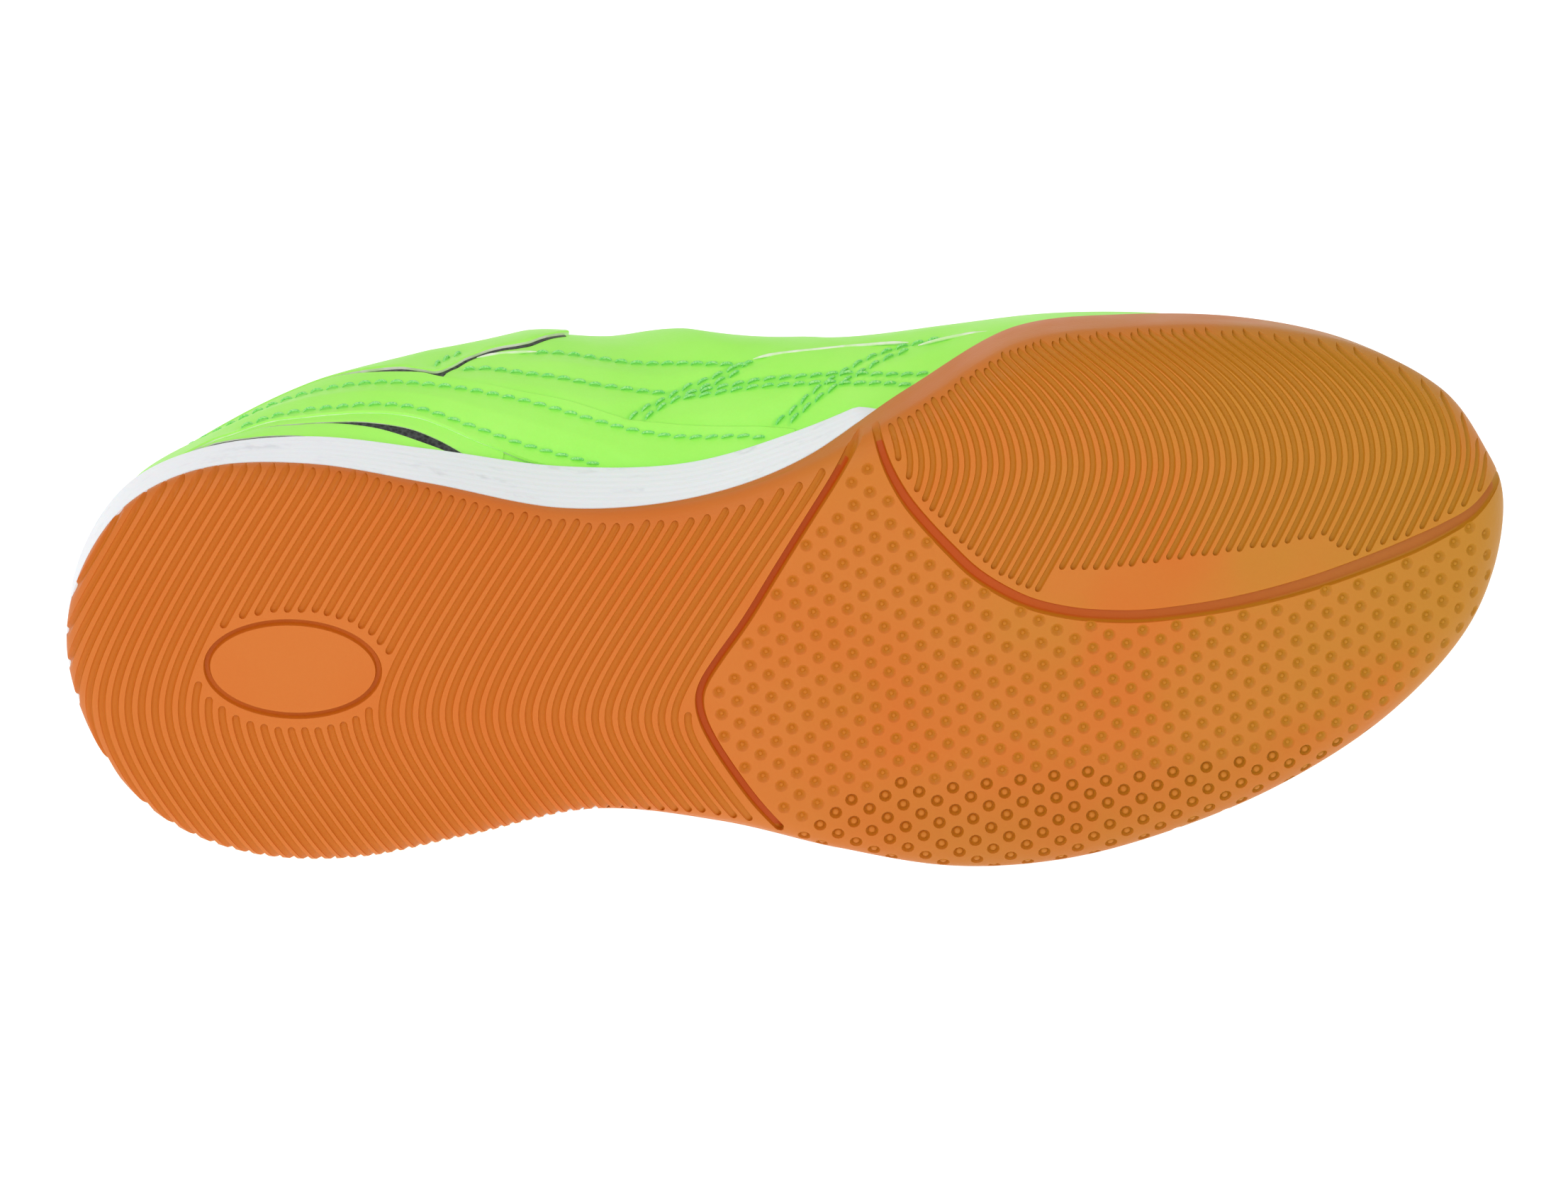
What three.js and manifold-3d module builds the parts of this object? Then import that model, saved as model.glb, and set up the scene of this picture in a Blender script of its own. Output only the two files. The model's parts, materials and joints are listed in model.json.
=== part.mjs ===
// Indoor soccer shoe for the left foot, lying on its outer side with its gum sole showing.
// It is modelled standing: +X to the toe, +Y to the outer side, +Z up, the ground at Z = 0.
// At the end the whole shoe is laid on the floor on its outer side.
import * as THREE from "three";
import { mergeVertices } from "three/addons/utils/BufferGeometryUtils.js";
import { ConvexHull } from "three/addons/math/ConvexHull.js";
import Module from "manifold-3d";

const wasm = await Module();
wasm.setup();

// Driving sizes in millimetres.
const soleLength = 276;
const ballWidth = 106.5;
const toeSpring = 13;
const heelBevel = 2.5;
const foxingHeight = 24; // ground to the top of the white side wall at the arch
const gumSlab = 4; // gum under the foot
const gumWall = 2.6; // gum that wraps up round the forefoot
const sideWall = 4.6; // whole side wall of the cup
const seatDepth = 9; // how deep the upper sits in the cup
const collarHeight = 86; // ground to the top of the heel collar
const upperWall = 2.2;
const overlayThick = 1;
const collarPad = 5;
const insoleThick = 4;
const tongueThick = 4.5;
const tongueTuck = 12; // how far its sides reach under the throat
const tongueCrown = 1.6;
const laceWidth = 6;
const laceThick = 1.6;
const eyeletDiameter = 4.6;
const eyeletInset = 8.5; // eyelet centre to the edge of the throat
const eyestayWidth = 17;
const laceLift = 1.1; // over the eyestay
const channelWidth = 2.5;
const channelDepth = 1.7;
const ovalLength = 33.4;
const ovalWidth = 19.4;
const ovalRing = 1.5;
const clearance = 0.35;
const cupGap = 0.6; // between the midsole and the gum wall

// Sections from heel to toe. x, inner and outer give the sole's edge. openX, openHalf,
// openMid and openTop give the edge of the collar and the throat.
// x and openX are shares of the sole's length, openTop of the collar's height, the rest of the ball width.
const sections = [
  { x: 0.0, inner: 0.0, outer: 0.0, openX: 0.022, openHalf: 0.0, openMid: 0.0, openTop: 1.0 },
  { x: 0.014, inner: -0.151, outer: 0.17, openX: 0.031, openHalf: 0.08, openMid: 0.013, openTop: 0.988 },
  { x: 0.052, inner: -0.279, outer: 0.311, openX: 0.065, openHalf: 0.15, openMid: 0.038, openTop: 0.936 },
  { x: 0.109, inner: -0.335, outer: 0.396, openX: 0.12, openHalf: 0.24, openMid: 0.054, openTop: 0.86 },
  { x: 0.181, inner: -0.321, outer: 0.425, openX: 0.185, openHalf: 0.285, openMid: 0.058, openTop: 0.833 },
  { x: 0.261, inner: -0.26, outer: 0.405, openX: 0.25, openHalf: 0.277, openMid: 0.055, openTop: 0.878 },
  { x: 0.348, inner: -0.189, outer: 0.379, openX: 0.312, openHalf: 0.216, openMid: 0.047, openTop: 1.012 },
  { x: 0.435, inner: -0.179, outer: 0.428, openX: 0.377, openHalf: 0.155, openMid: 0.045, openTop: 1.035 },
  { x: 0.514, inner: -0.225, outer: 0.506, openX: 0.438, openHalf: 0.131, openMid: 0.042, openTop: 0.963 },
  { x: 0.591, inner: -0.315, outer: 0.567, openX: 0.5, openHalf: 0.117, openMid: 0.04, openTop: 0.9 },
  { x: 0.667, inner: -0.408, outer: 0.581, openX: 0.554, openHalf: 0.108, openMid: 0.04, openTop: 0.826 },
  { x: 0.743, inner: -0.414, outer: 0.552, openX: 0.601, openHalf: 0.094, openMid: 0.038, openTop: 0.773 },
  { x: 0.826, inner: -0.384, outer: 0.492, openX: 0.638, openHalf: 0.07, openMid: 0.038, openTop: 0.738 },
  { x: 0.902, inner: -0.314, outer: 0.401, openX: 0.658, openHalf: 0.042, openMid: 0.038, openTop: 0.721 },
  { x: 0.96, inner: -0.204, outer: 0.282, openX: 0.665, openHalf: 0.021, openMid: 0.038, openTop: 0.713 },
  { x: 0.989, inner: -0.077, outer: 0.161, openX: 0.668, openHalf: 0.008, openMid: 0.038, openTop: 0.71 },
  { x: 1.0, inner: 0.024, outer: 0.024, openX: 0.669, openHalf: 0.0, openMid: 0.038, openTop: 0.709 },
];
const toe = sections.length - 1;
const around = 2 * toe;

// The side of the sole at some of the sections. roll is how far the lower edge is rounded in, and flare
// how far the top stands out, as shares of the ball width. lift is the rounding's height, gum the top of
// the gum and top the top of the side wall, as shares of the foxing height.
const sides = [
  { at: 0, inner: { roll: 0.047, lift: 0.146, flare: 0, gum: 0.19, top: 0.77 },
    outer: { roll: 0.047, lift: 0.146, flare: 0, gum: 0.19, top: 0.77 } },
  { at: 3, inner: { roll: 0.047, lift: 0.146, flare: 0, gum: 0.19, top: 0.7 },
    outer: { roll: 0.056, lift: 0.146, flare: 0, gum: 0.19, top: 0.7 } },
  { at: 6, inner: { roll: 0.085, lift: 0.167, flare: 0.023, gum: 0.21, top: 0.955 },
    outer: { roll: 0.066, lift: 0.146, flare: 0.077, gum: 0.19, top: 0.93 } },
  { at: 7, inner: { roll: 0.076, lift: 0.167, flare: 0.018, gum: 0.25, top: 0.91 },
    outer: { roll: 0.066, lift: 0.156, flare: 0.089, gum: 0.205, top: 0.89 } },
  { at: 8, inner: { roll: 0.066, lift: 0.167, flare: 0.014, gum: 0.311, top: 0.866 },
    outer: { roll: 0.066, lift: 0.167, flare: 0.063, gum: 0.22, top: 0.85 } },
  { at: 9, inner: { roll: 0.056, lift: 0.208, flare: 0, gum: 0.626, top: 0.761 },
    outer: { roll: 0.075, lift: 0.208, flare: 0, gum: 0.5, top: 0.8 } },
  { at: 10, inner: { roll: 0.056, lift: 0.25, flare: -0.014, gum: 0.826, top: 0.826 },
    outer: { roll: 0.085, lift: 0.25, flare: -0.014, gum: 0.77, top: 0.77 } },
  { at: 13, inner: { roll: 0.066, lift: 0.29, flare: -0.023, gum: 0.79, top: 0.79 },
    outer: { roll: 0.085, lift: 0.29, flare: -0.023, gum: 0.78, top: 0.78 } },
  { at: 16, inner: { roll: 0.075, lift: 0.29, flare: -0.028, gum: 0.83, top: 0.83 },
    outer: { roll: 0.075, lift: 0.29, flare: -0.028, gum: 0.83, top: 0.83 } },
];

// The swell of the upper between the side wall and its open edge: the two handles of one curve.
// lowOut and highOut are shares of the ball width, lowUp and highUp of the collar's height.
const swells = [
  { at: 0, inner: { lowOut: 0.055, lowUp: 0.256, highOut: 0.02, highUp: -0.233 },
    outer: { lowOut: 0.055, lowUp: 0.256, highOut: 0.02, highUp: -0.233 } },
  { at: 3, inner: { lowOut: 0.029, lowUp: 0.187, highOut: 0.053, highUp: -0.19 },
    outer: { lowOut: 0.05, lowUp: 0.2, highOut: 0.08, highUp: -0.2 } },
  { at: 6, inner: { lowOut: 0.243, lowUp: 0.179, highOut: 0.226, highUp: -0.145 },
    outer: { lowOut: 0.06, lowUp: 0.21, highOut: 0.16, highUp: -0.16 } },
  { at: 8, inner: { lowOut: 0.215, lowUp: 0.219, highOut: 0.316, highUp: -0.069 },
    outer: { lowOut: 0.035, lowUp: 0.21, highOut: 0.215, highUp: -0.09 } },
  { at: 10, inner: { lowOut: 0.048, lowUp: 0.173, highOut: 0.226, highUp: -0.065 },
    outer: { lowOut: 0.02, lowUp: 0.18, highOut: 0.26, highUp: -0.08 } },
  { at: 13, inner: { lowOut: 0.03, lowUp: 0.2, highOut: 0.33, highUp: -0.08 },
    outer: { lowOut: 0.02, lowUp: 0.2, highOut: 0.36, highUp: -0.08 } },
  { at: 16, inner: { lowOut: 0.03, lowUp: 0.2, highOut: 0.47, highUp: -0.1 },
    outer: { lowOut: 0.03, lowUp: 0.2, highOut: 0.47, highUp: -0.1 } },
];

// The free end of the tongue above the throat: x as a share of the sole's length, top of the
// collar's height and half of the ball width.
const tongueEnd = [
  { x: 0.302, top: 1.105, half: 0.168 },
  { x: 0.275, top: 1.175, half: 0.18 },
  { x: 0.258, top: 1.225, half: 0.14 },
];

// Middle lines of the sole's two channels: x as a share of the sole's length, y of the ball width.
const angleChannel = [
  [0.575, -0.31], [0.546, -0.217], [0.522, -0.132], [0.5, -0.057], [0.477, 0.022], [0.457, 0.088],
  [0.443, 0.14], [0.437, 0.185], [0.44, 0.223], [0.457, 0.309], [0.473, 0.396], [0.49, 0.47],
];
const curveChannel = [
  [0.568, -0.31], [0.573, -0.236], [0.582, -0.167], [0.597, -0.09], [0.615, -0.028], [0.635, 0.026],
  [0.668, 0.094], [0.709, 0.124], [0.771, 0.139], [0.842, 0.106], [0.914, 0.063], [0.95, 0.037],
  [0.98, -0.006], [1.0, -0.045],
];
const ovalCentre = [0.155, 0.053];
const ovalTurn = 0.11; // radians

const smoothstep = (low, high, x) => THREE.MathUtils.smoothstep(x, low, high);
const point = (x, y, z) => new THREE.Vector3(x, y, z);

// Catmull-Rom value of a closed list at position u.
function loopValue(list, u) {
  const n = list.length;
  const i = Math.floor(u);
  const t = u - i;
  const [a, b, c, d] = [-1, 0, 1, 2].map((k) => list[(((i + k) % n) + n) % n]);
  return b + 0.5 * t * (c - a + t * (2 * a - 5 * b + 4 * c - d + t * (3 * (b - c) + d - a)));
}

// One value for each step around the shoe: up the inner side to the toe and back along the outer side.
function aroundLoop(inner, outer) {
  return Array.from({ length: around }, (_, i) => (i <= toe ? inner(i) : outer(around - i)));
}

// Value of a named column of one side of a table, between its rows.
function tableValue(rows, side, column, at) {
  const i = rows.findIndex((row) => row.at >= at);
  const high = rows[i];
  const low = rows[Math.max(i - 1, 0)];
  const t = high === low ? 0 : (at - low.at) / (high.at - low.at);
  return low[side][column] * (1 - t) + high[side][column] * t;
}

const edgeX = aroundLoop((i) => sections[i].x, (i) => sections[i].x);
const edgeY = aroundLoop((i) => sections[i].inner, (i) => sections[i].outer);
const openX = aroundLoop((i) => sections[i].openX, (i) => sections[i].openX);
const openY = aroundLoop(
  (i) => sections[i].openMid - sections[i].openHalf,
  (i) => sections[i].openMid + sections[i].openHalf,
);
const openTop = aroundLoop((i) => sections[i].openTop, (i) => sections[i].openTop);
const fromTable = (rows, column) =>
  aroundLoop((i) => tableValue(rows, "inner", column, i), (i) => tableValue(rows, "outer", column, i));
const side = {};
for (const column of ["roll", "lift", "flare", "gum", "top"]) side[column] = fromTable(sides, column);
const swell = {};
for (const column of ["lowOut", "lowUp", "highOut", "highUp"]) swell[column] = fromTable(swells, column);

const roll = (u) => loopValue(side.roll, u) * ballWidth;
const flare = (u) => loopValue(side.flare, u) * ballWidth;
const lift = (u) => loopValue(side.lift, u) * foxingHeight;
const topHeight = (u) => loopValue(side.top, u) * foxingHeight;
const gumHeight = (u) => Math.min(loopValue(side.gum, u) * foxingHeight, topHeight(u));

// Height of the sole's underside: level from heel to ball, then sprung up to the toe.
function ground(x) {
  const heelRun = 0.045 * soleLength;
  const toeStart = 0.69 * soleLength;
  if (x < heelRun) return heelBevel * ((heelRun - x) / heelRun) ** 2;
  if (x > toeStart) return toeSpring * ((x - toeStart) / (soleLength - toeStart)) ** 2;
  return 0;
}

const edgeAt = (u) => point(loopValue(edgeX, u) * soleLength, loopValue(edgeY, u) * ballWidth, 0);

// Outward direction of the sole's edge, level.
function outward(u) {
  const along = edgeAt(u + 0.05).sub(edgeAt(u - 0.05));
  return point(along.y, -along.x, 0).normalize();
}

// Point beside the sole's edge: out from it, and up from the underside there.
function soleSide(u, out, up) {
  const p = edgeAt(u).addScaledVector(outward(u), out);
  return p.setZ(ground(p.x) + up);
}

// Where the upper leaves the cup.
const seat = (u) => soleSide(u, flare(u) - sideWall - clearance, topHeight(u));

// The open edge of the upper.
const openEdge = (u) =>
  point(loopValue(openX, u) * soleLength, loopValue(openY, u) * ballWidth, loopValue(openTop, u) * collarHeight);

// Outer face of the upper at u round the shoe and v from the cup, 0, to the open edge, 1.
function upperFace(u, v) {
  const from = seat(u);
  const to = openEdge(u);
  const out = outward(u);
  const low = from.clone().addScaledVector(out, loopValue(swell.lowOut, u) * ballWidth);
  const high = to.clone().addScaledVector(out, loopValue(swell.highOut, u) * ballWidth);
  low.z += loopValue(swell.lowUp, u) * collarHeight;
  high.z += loopValue(swell.highUp, u) * collarHeight;
  return new THREE.CubicBezierCurve3(from, low, high, to).getPoint(v);
}

// The same face moved out along its normal.
function upperSkin(u, v, out) {
  const d = 0.02;
  const alongU = upperFace(u + d, v).sub(upperFace(u - d, v));
  const alongV = upperFace(u, Math.min(v + d, 1)).sub(upperFace(u, Math.max(v - d, 0)));
  const normal = alongU.cross(alongV).normalize();
  return upperFace(u, v).addScaledVector(normal, out);
}

// Length of the upper from the cup to the open edge.
function rise(u) {
  const steps = 12;
  let sum = 0;
  for (let i = 0; i < steps; i++) sum += upperFace(u, i / steps).distanceTo(upperFace(u, (i + 1) / steps));
  return sum;
}

// Position v at a distance below the open edge.
const belowEdge = (u, distance) => 1 - distance / rise(u);

// Closed geometry as a solid, turned the right way out.
function toSolid(geometry) {
  const bare = geometry.index ? geometry.toNonIndexed() : geometry.clone();
  bare.deleteAttribute("normal");
  bare.deleteAttribute("uv");
  const merged = mergeVertices(bare, 1e-4);
  const build = (triVerts) =>
    new wasm.Manifold(new wasm.Mesh({ numProp: 3, vertProperties: merged.attributes.position.array, triVerts }));
  const faces = new Uint32Array(merged.index.array);
  const solid = build(faces);
  if (solid.volume() > 0) return solid;
  for (let i = 0; i < faces.length; i += 3) [faces[i + 1], faces[i + 2]] = [faces[i + 2], faces[i + 1]];
  return build(faces);
}

function geometryOf(points, faces) {
  const geometry = new THREE.BufferGeometry().setFromPoints(points);
  geometry.setIndex(faces);
  return geometry;
}

const splitQuad = (faces, a, b, c, d) => faces.push(a, b, c, a, c, d);

// Two faces for four corners, split along the shorter diagonal.
function quad(faces, points, a, b, c, d) {
  if (points[a].distanceTo(points[c]) <= points[b].distanceTo(points[d])) splitQuad(faces, a, b, c, d);
  else splitQuad(faces, b, c, d, a);
}

// Loops of equal count, each joined to the next and the last to the first, as a tube bent round into a ring.
function ringSolid(loops) {
  const n = loops[0].length;
  const points = loops.flat();
  const faces = [];
  loops.forEach((_, j) => {
    const next = (j + 1) % loops.length;
    for (let i = 0; i < n; i++) {
      const k = (i + 1) % n;
      quad(faces, points, j * n + i, j * n + k, next * n + k, next * n + i);
    }
  });
  return toSolid(geometryOf(points, faces));
}

// Loops from the underside's middle out, up the side and in again, closed across the shoe at both ends.
// Walls that rise and walls that fall are split the same way, so that two side by side keep their gap.
function cupSolid(loops) {
  const n = loops[0].length;
  const points = loops.flat();
  const faces = [];
  for (let j = 0; j + 1 < loops.length; j++) {
    for (let i = 0; i < n; i++) {
      const k = (i + 1) % n;
      const [a, b, c, d] = [j * n + i, j * n + k, (j + 1) * n + k, (j + 1) * n + i];
      if (points[a].z < points[d].z) splitQuad(faces, a, b, c, d);
      else splitQuad(faces, b, c, d, a);
    }
  }
  const close = (start, first) => {
    const at = (i) => start + (first ? i : (n - i) % n);
    faces.push(at(0), at(n - 1), at(1));
    for (let i = 1; i < n / 2 - 1; i++) quad(faces, points, at(i + 1), at(i), at(n - i), at(n - i - 1));
    faces.push(at(n / 2), at(n / 2 - 1), at(n / 2 + 1));
  };
  close(0, true);
  close((loops.length - 1) * n, false);
  return toSolid(geometryOf(points, faces));
}

// A sheet between two grids of points of the same size.
function sheetSolid(outer, inner) {
  const rows = outer.length;
  const columns = outer[0].length;
  const count = rows * columns;
  const points = [...outer.flat(), ...inner.flat()];
  const faces = [];
  for (let r = 0; r + 1 < rows; r++) {
    for (let c = 0; c + 1 < columns; c++) {
      const a = r * columns + c;
      quad(faces, points, a, a + 1, a + columns + 1, a + columns);
      quad(faces, points, count + a + columns, count + a + columns + 1, count + a + 1, count + a);
    }
  }
  const wall = (a, b) => quad(faces, points, b, a, count + a, count + b);
  for (let c = 0; c + 1 < columns; c++) {
    wall(c, c + 1);
    wall((rows - 1) * columns + c + 1, (rows - 1) * columns + c);
  }
  for (let r = 0; r + 1 < rows; r++) {
    wall((r + 1) * columns, r * columns);
    wall(r * columns + columns - 1, (r + 1) * columns + columns - 1);
  }
  return toSolid(geometryOf(points, faces));
}

const stepsAround = 64;
const step = around / stepsAround;
const aroundPoints = (make) => Array.from({ length: stepsAround }, (_, i) => make(i * step));
const spread = (from, to, count) => Array.from({ length: count + 1 }, (_, i) => from + ((to - from) * i) / count);

// Outer side of the sole at a height above its rounded lower edge.
function sideOut(u, up) {
  const share = THREE.MathUtils.clamp((up - lift(u)) / (topHeight(u) - lift(u)), 0, 1);
  return flare(u) * share;
}

// Depth of the gum's inner wall from the sole's edge, at a height.
function gumInside(u, up) {
  const share = THREE.MathUtils.clamp((up - gumSlab) / Math.max(gumHeight(u) - gumSlab, 1), 0, 1);
  const foot = gumWall + 0.35 * roll(u);
  return foot * (1 - share) + (gumWall - sideOut(u, gumHeight(u))) * share;
}

const edgeArc = [0, 30, 60, 90].map((degrees) => THREE.MathUtils.degToRad(degrees));

// Gum outsole: a slab with a rounded edge that wraps up round the forefoot.
function outsoleSolid() {
  const loops = [aroundPoints((u) => soleSide(u, -1.8 * roll(u), 0))];
  for (const angle of edgeArc) {
    const inset = 1 - Math.sin(angle);
    const up = 1 - Math.cos(angle);
    loops.push(aroundPoints((u) => soleSide(u, -inset * roll(u), up * Math.min(lift(u), gumHeight(u) - 0.4))));
  }
  loops.push(aroundPoints((u) => soleSide(u, sideOut(u, gumHeight(u)), gumHeight(u))));
  loops.push(aroundPoints((u) => soleSide(u, -gumInside(u, gumHeight(u)), gumHeight(u))));
  loops.push(aroundPoints((u) => soleSide(u, -gumInside(u, gumSlab), Math.min(gumSlab, gumHeight(u) - 0.2))));
  loops.push(aroundPoints((u) => soleSide(u, -2.2 * roll(u), Math.min(gumSlab, gumHeight(u) - 0.2))));
  return cupSolid(loops);
}

// White midsole: a cup that shows between the gum and the upper, and runs on inside the gum wall.
function midsoleSolid() {
  const covered = (u) => topHeight(u) - gumHeight(u);
  const rimTop = (u) => topHeight(u) - 1.5 * (1 - smoothstep(1.2, 2.9, covered(u)));
  const ledge = (u) => Math.min(gumHeight(u) + cupGap, rimTop(u) - 0.6);
  const hidden = (u) => 1 - smoothstep(5, 8, covered(u));
  const inside = (u, up) => gumInside(u, up) + cupGap;
  const ledgeOut = (u) => sideOut(u, ledge(u)) * (1 - hidden(u)) - inside(u, ledge(u)) * hidden(u);
  const rimOut = (u) => flare(u) * (1 - hidden(u)) - (gumWall - flare(u) + cupGap) * hidden(u);
  const floor = (u) => topHeight(u) - seatDepth;
  const base = (u) => Math.min(gumSlab, gumHeight(u) - 0.2) + clearance;
  return cupSolid([
    aroundPoints((u) => soleSide(u, -2.2 * roll(u), base(u))),
    aroundPoints((u) => soleSide(u, -inside(u, gumSlab), base(u))),
    aroundPoints((u) => soleSide(u, -inside(u, ledge(u)), ledge(u))),
    aroundPoints((u) => soleSide(u, ledgeOut(u) + 0.01, ledge(u) + 0.02)),
    aroundPoints((u) => soleSide(u, rimOut(u), rimTop(u))),
    aroundPoints((u) => soleSide(u, flare(u) - sideWall, rimTop(u))),
    aroundPoints((u) => soleSide(u, flare(u) - sideWall, floor(u))),
    aroundPoints((u) => soleSide(u, flare(u) - 3 * sideWall, floor(u))),
  ]);
}

// Insole: a flat footbed inside the foot of the upper.
function insoleSolid() {
  const edge = (u) => flare(u) - sideWall - upperWall - 2 * clearance;
  const base = (u) => topHeight(u) - seatDepth + clearance;
  return cupSolid([
    aroundPoints((u) => soleSide(u, edge(u) - 2 * sideWall, base(u))),
    aroundPoints((u) => soleSide(u, edge(u), base(u))),
    aroundPoints((u) => soleSide(u, edge(u), base(u) + insoleThick)),
    aroundPoints((u) => soleSide(u, edge(u) - 2 * sideWall, base(u) + insoleThick)),
  ]);
}

// Levels on the upper at u: four up to the lower edge of the eyestay, and two across it.
const levelCount = 6;
function levelAt(u, i) {
  const stay = belowEdge(u, eyestayWidth);
  return i < 4 ? (stay * i) / 4 : stay + ((1 - stay) * (i - 4)) / 2;
}
const skinLoops = (out) => spread(0, levelCount, levelCount).map((i) => aroundPoints((u) => upperSkin(u, levelAt(u, i), out)));

// Upper: one wall from the foot of the cup up to the collar and the throat, open below and on top.
function upperSolid() {
  const foot = (out) =>
    aroundPoints((u) => {
      const p = upperSkin(u, 0, out);
      return p.setZ(p.z - seatDepth + clearance);
    });
  return ringSolid([foot(0), ...skinLoops(0), ...skinLoops(-upperWall).reverse(), foot(-upperWall)]);
}

// Eyestay: the lace panel round the throat.
function eyestaySolid() {
  const from = 11 * step;
  const grid = (out) =>
    [4, 5, 6].map((i) => spread(from, around - from, stepsAround - 22).map((u) => upperSkin(u, levelAt(u, i), out)));
  return sheetSolid(grid(clearance + overlayThick), grid(clearance));
}

// A panel that lies on the upper between two lines low(u) and high(u): a shell just outside it, cut by a block.
function panelSolid(from, to, low, high, thick) {
  const shell = ringSolid([...skinLoops(clearance), ...skinLoops(clearance + thick).reverse()]);
  const grid = (out) =>
    spread(0, 1, 2).map((share) =>
      spread(from, to, to - from).map((i) =>
        upperSkin(i * step, low(i * step) * (1 - share) + high(i * step) * share, out),
      ),
    );
  return shell.intersect(sheetSolid(grid(clearance + thick + 2), grid(-1)));
}

// Lower and upper edges of the heel counter: a band round the heel that falls to the side wall at
// the arch and leaves a crescent open below it on both sides.
const counterReach = 16 * step;
function counterLow(u) {
  const k = Math.abs(u);
  return 0.03 + 0.21 * smoothstep(2.4, 3.3, k) * (1 - smoothstep(4.6, 7.3, k));
}
const counterHigh = (u) => 0.06 + 0.52 * (1 - smoothstep(0.2, 1, Math.abs(u) / counterReach));
const counterSolid = () => panelSolid(-16, 16, counterLow, counterHigh, overlayThick);

// Quarter inlay: a low black panel in the crescent between the counter and the side wall, on the inner side.
const inlaySolid = () => panelSolid(5.5, 10.8, () => 0.03, (u) => counterLow(u) - 0.025, 0.5 * overlayThick);

// Collar pad: the black lining that swells inside the ankle.
function collarSolid() {
  const reach = 5.1;
  const inside = upperWall + 2 * clearance;
  const puff = (share) => 1 + collarPad * Math.sin(Math.PI * Math.min(share * 1.05, 1)) ** 0.7;
  const grid = (depth) =>
    spread(0, 1, 5).map((share) =>
      spread(-reach, reach, 26).map((u) => upperSkin(u, 0.45 + 0.55 * share, -inside - depth(share))),
    );
  return sheetSolid(grid(() => 0), grid(puff));
}

// Tongue: a padded strip under the throat that stands up free at the ankle.
function tongueSolid() {
  const grid = (depth) => {
    const under = spread(14.4, 6.4, 12).map((u) => {
      const tuck = tongueTuck * (0.2 + 0.8 * smoothstep(6.2, 8.4, u));
      const hem = (at) =>
        [1, 0.5, 0.05].map((share) =>
          upperSkin(at, belowEdge(at, share * tuck), -(upperWall + 5 * clearance) - depth * (1 - 0.7 * share ** 2)),
        );
      const inner = hem(u);
      const outer = hem(around - u).reverse();
      const middle = inner[2].clone().add(outer[0]).multiplyScalar(0.5);
      return [...inner, middle.setZ(middle.z + tongueCrown), ...outer];
    });
    const mid = sections[6].openMid * ballWidth;
    const free = tongueEnd.map((row) =>
      [-1, -0.72, -0.38, 0, 0.38, 0.72, 1].map((share) => {
        const y = share * row.half * ballWidth;
        const thin = depth * (1 - 0.7 * share ** 2);
        return point(row.x * soleLength - 0.75 * thin, mid + y, row.top * collarHeight - y * y * 0.012 - 0.6 * thin);
      }),
    );
    return [...under, ...free];
  };
  return sheetSolid(grid(0), grid(tongueThick));
}

// Eyelet places, from the ankle to the vamp, on one side of the throat.
const eyeletRows = spread(6.25, 12.4, 5);
const eyeletAt = (u, out) => upperSkin(u, belowEdge(u, eyeletInset), out);

function eyeletHoles() {
  const reach = 2 * (upperWall + overlayThick);
  return eyeletRows.flatMap((row) =>
    [row, around - row].map((u) => {
      const from = eyeletAt(u, -reach);
      const to = eyeletAt(u, reach);
      const hole = new THREE.CylinderGeometry(eyeletDiameter / 2, eyeletDiameter / 2, from.distanceTo(to), 8);
      const turn = new THREE.Quaternion().setFromUnitVectors(point(0, 1, 0), to.clone().sub(from).normalize());
      hole.applyQuaternion(turn);
      hole.translate(...from.add(to).multiplyScalar(0.5).toArray());
      return toSolid(hole);
    }),
  );
}

// One flat lace run from an eyelet to another, over the edges of the throat.
function laceRun(u1, u2) {
  const lay = clearance + overlayThick + laceLift;
  const other = around - u2;
  const rung = (from, step, share) => {
    const u = from + step * share;
    const v = belowEdge(u, eyeletInset * (1.15 - 2.3 * share));
    const up = upperSkin(u, v, 1).sub(upperSkin(u, v, 0));
    return { p: upperSkin(u, v, lay), up };
  };
  const near = [0, 0.25, 0.5].map((share) => rung(u1, (other - u1) * 0.5, share));
  const far = [0.5, 0.25, 0].map((share) => rung(u2, (around - u1 - u2) * 0.5, share));
  const middle = {
    p: near[2].p.clone().add(far[0].p).multiplyScalar(0.5),
    up: near[2].up.clone().add(far[0].up).normalize(),
  };
  middle.p.addScaledVector(middle.up, tongueCrown);
  const line = [...near, middle, ...far];
  const rows = line.map(({ p, up }, i) => {
    const along = line[Math.min(i + 1, line.length - 1)].p.clone().sub(line[Math.max(i - 1, 0)].p);
    const across = up.clone().cross(along).normalize().multiplyScalar(laceWidth / 2);
    return { p, up: along.clone().cross(across).normalize(), across };
  });
  const grid = (height) =>
    rows.map(({ p, up, across }) => {
      const on = p.clone().addScaledVector(up, height);
      return [on.clone().sub(across), on.clone().add(across)];
    });
  return sheetSolid(grid(laceThick), grid(0));
}

// Lace: a bar at the vamp and crossings up the throat, joined where they meet.
function laceSolid() {
  const last = eyeletRows.length - 1;
  let lace = laceRun(eyeletRows[last], around - eyeletRows[last]);
  for (let i = 0; i < last; i++) {
    lace = lace.add(laceRun(eyeletRows[i], around - eyeletRows[i + 1]));
    lace = lace.add(laceRun(eyeletRows[i + 1], around - eyeletRows[i]));
  }
  return lace;
}

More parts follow.
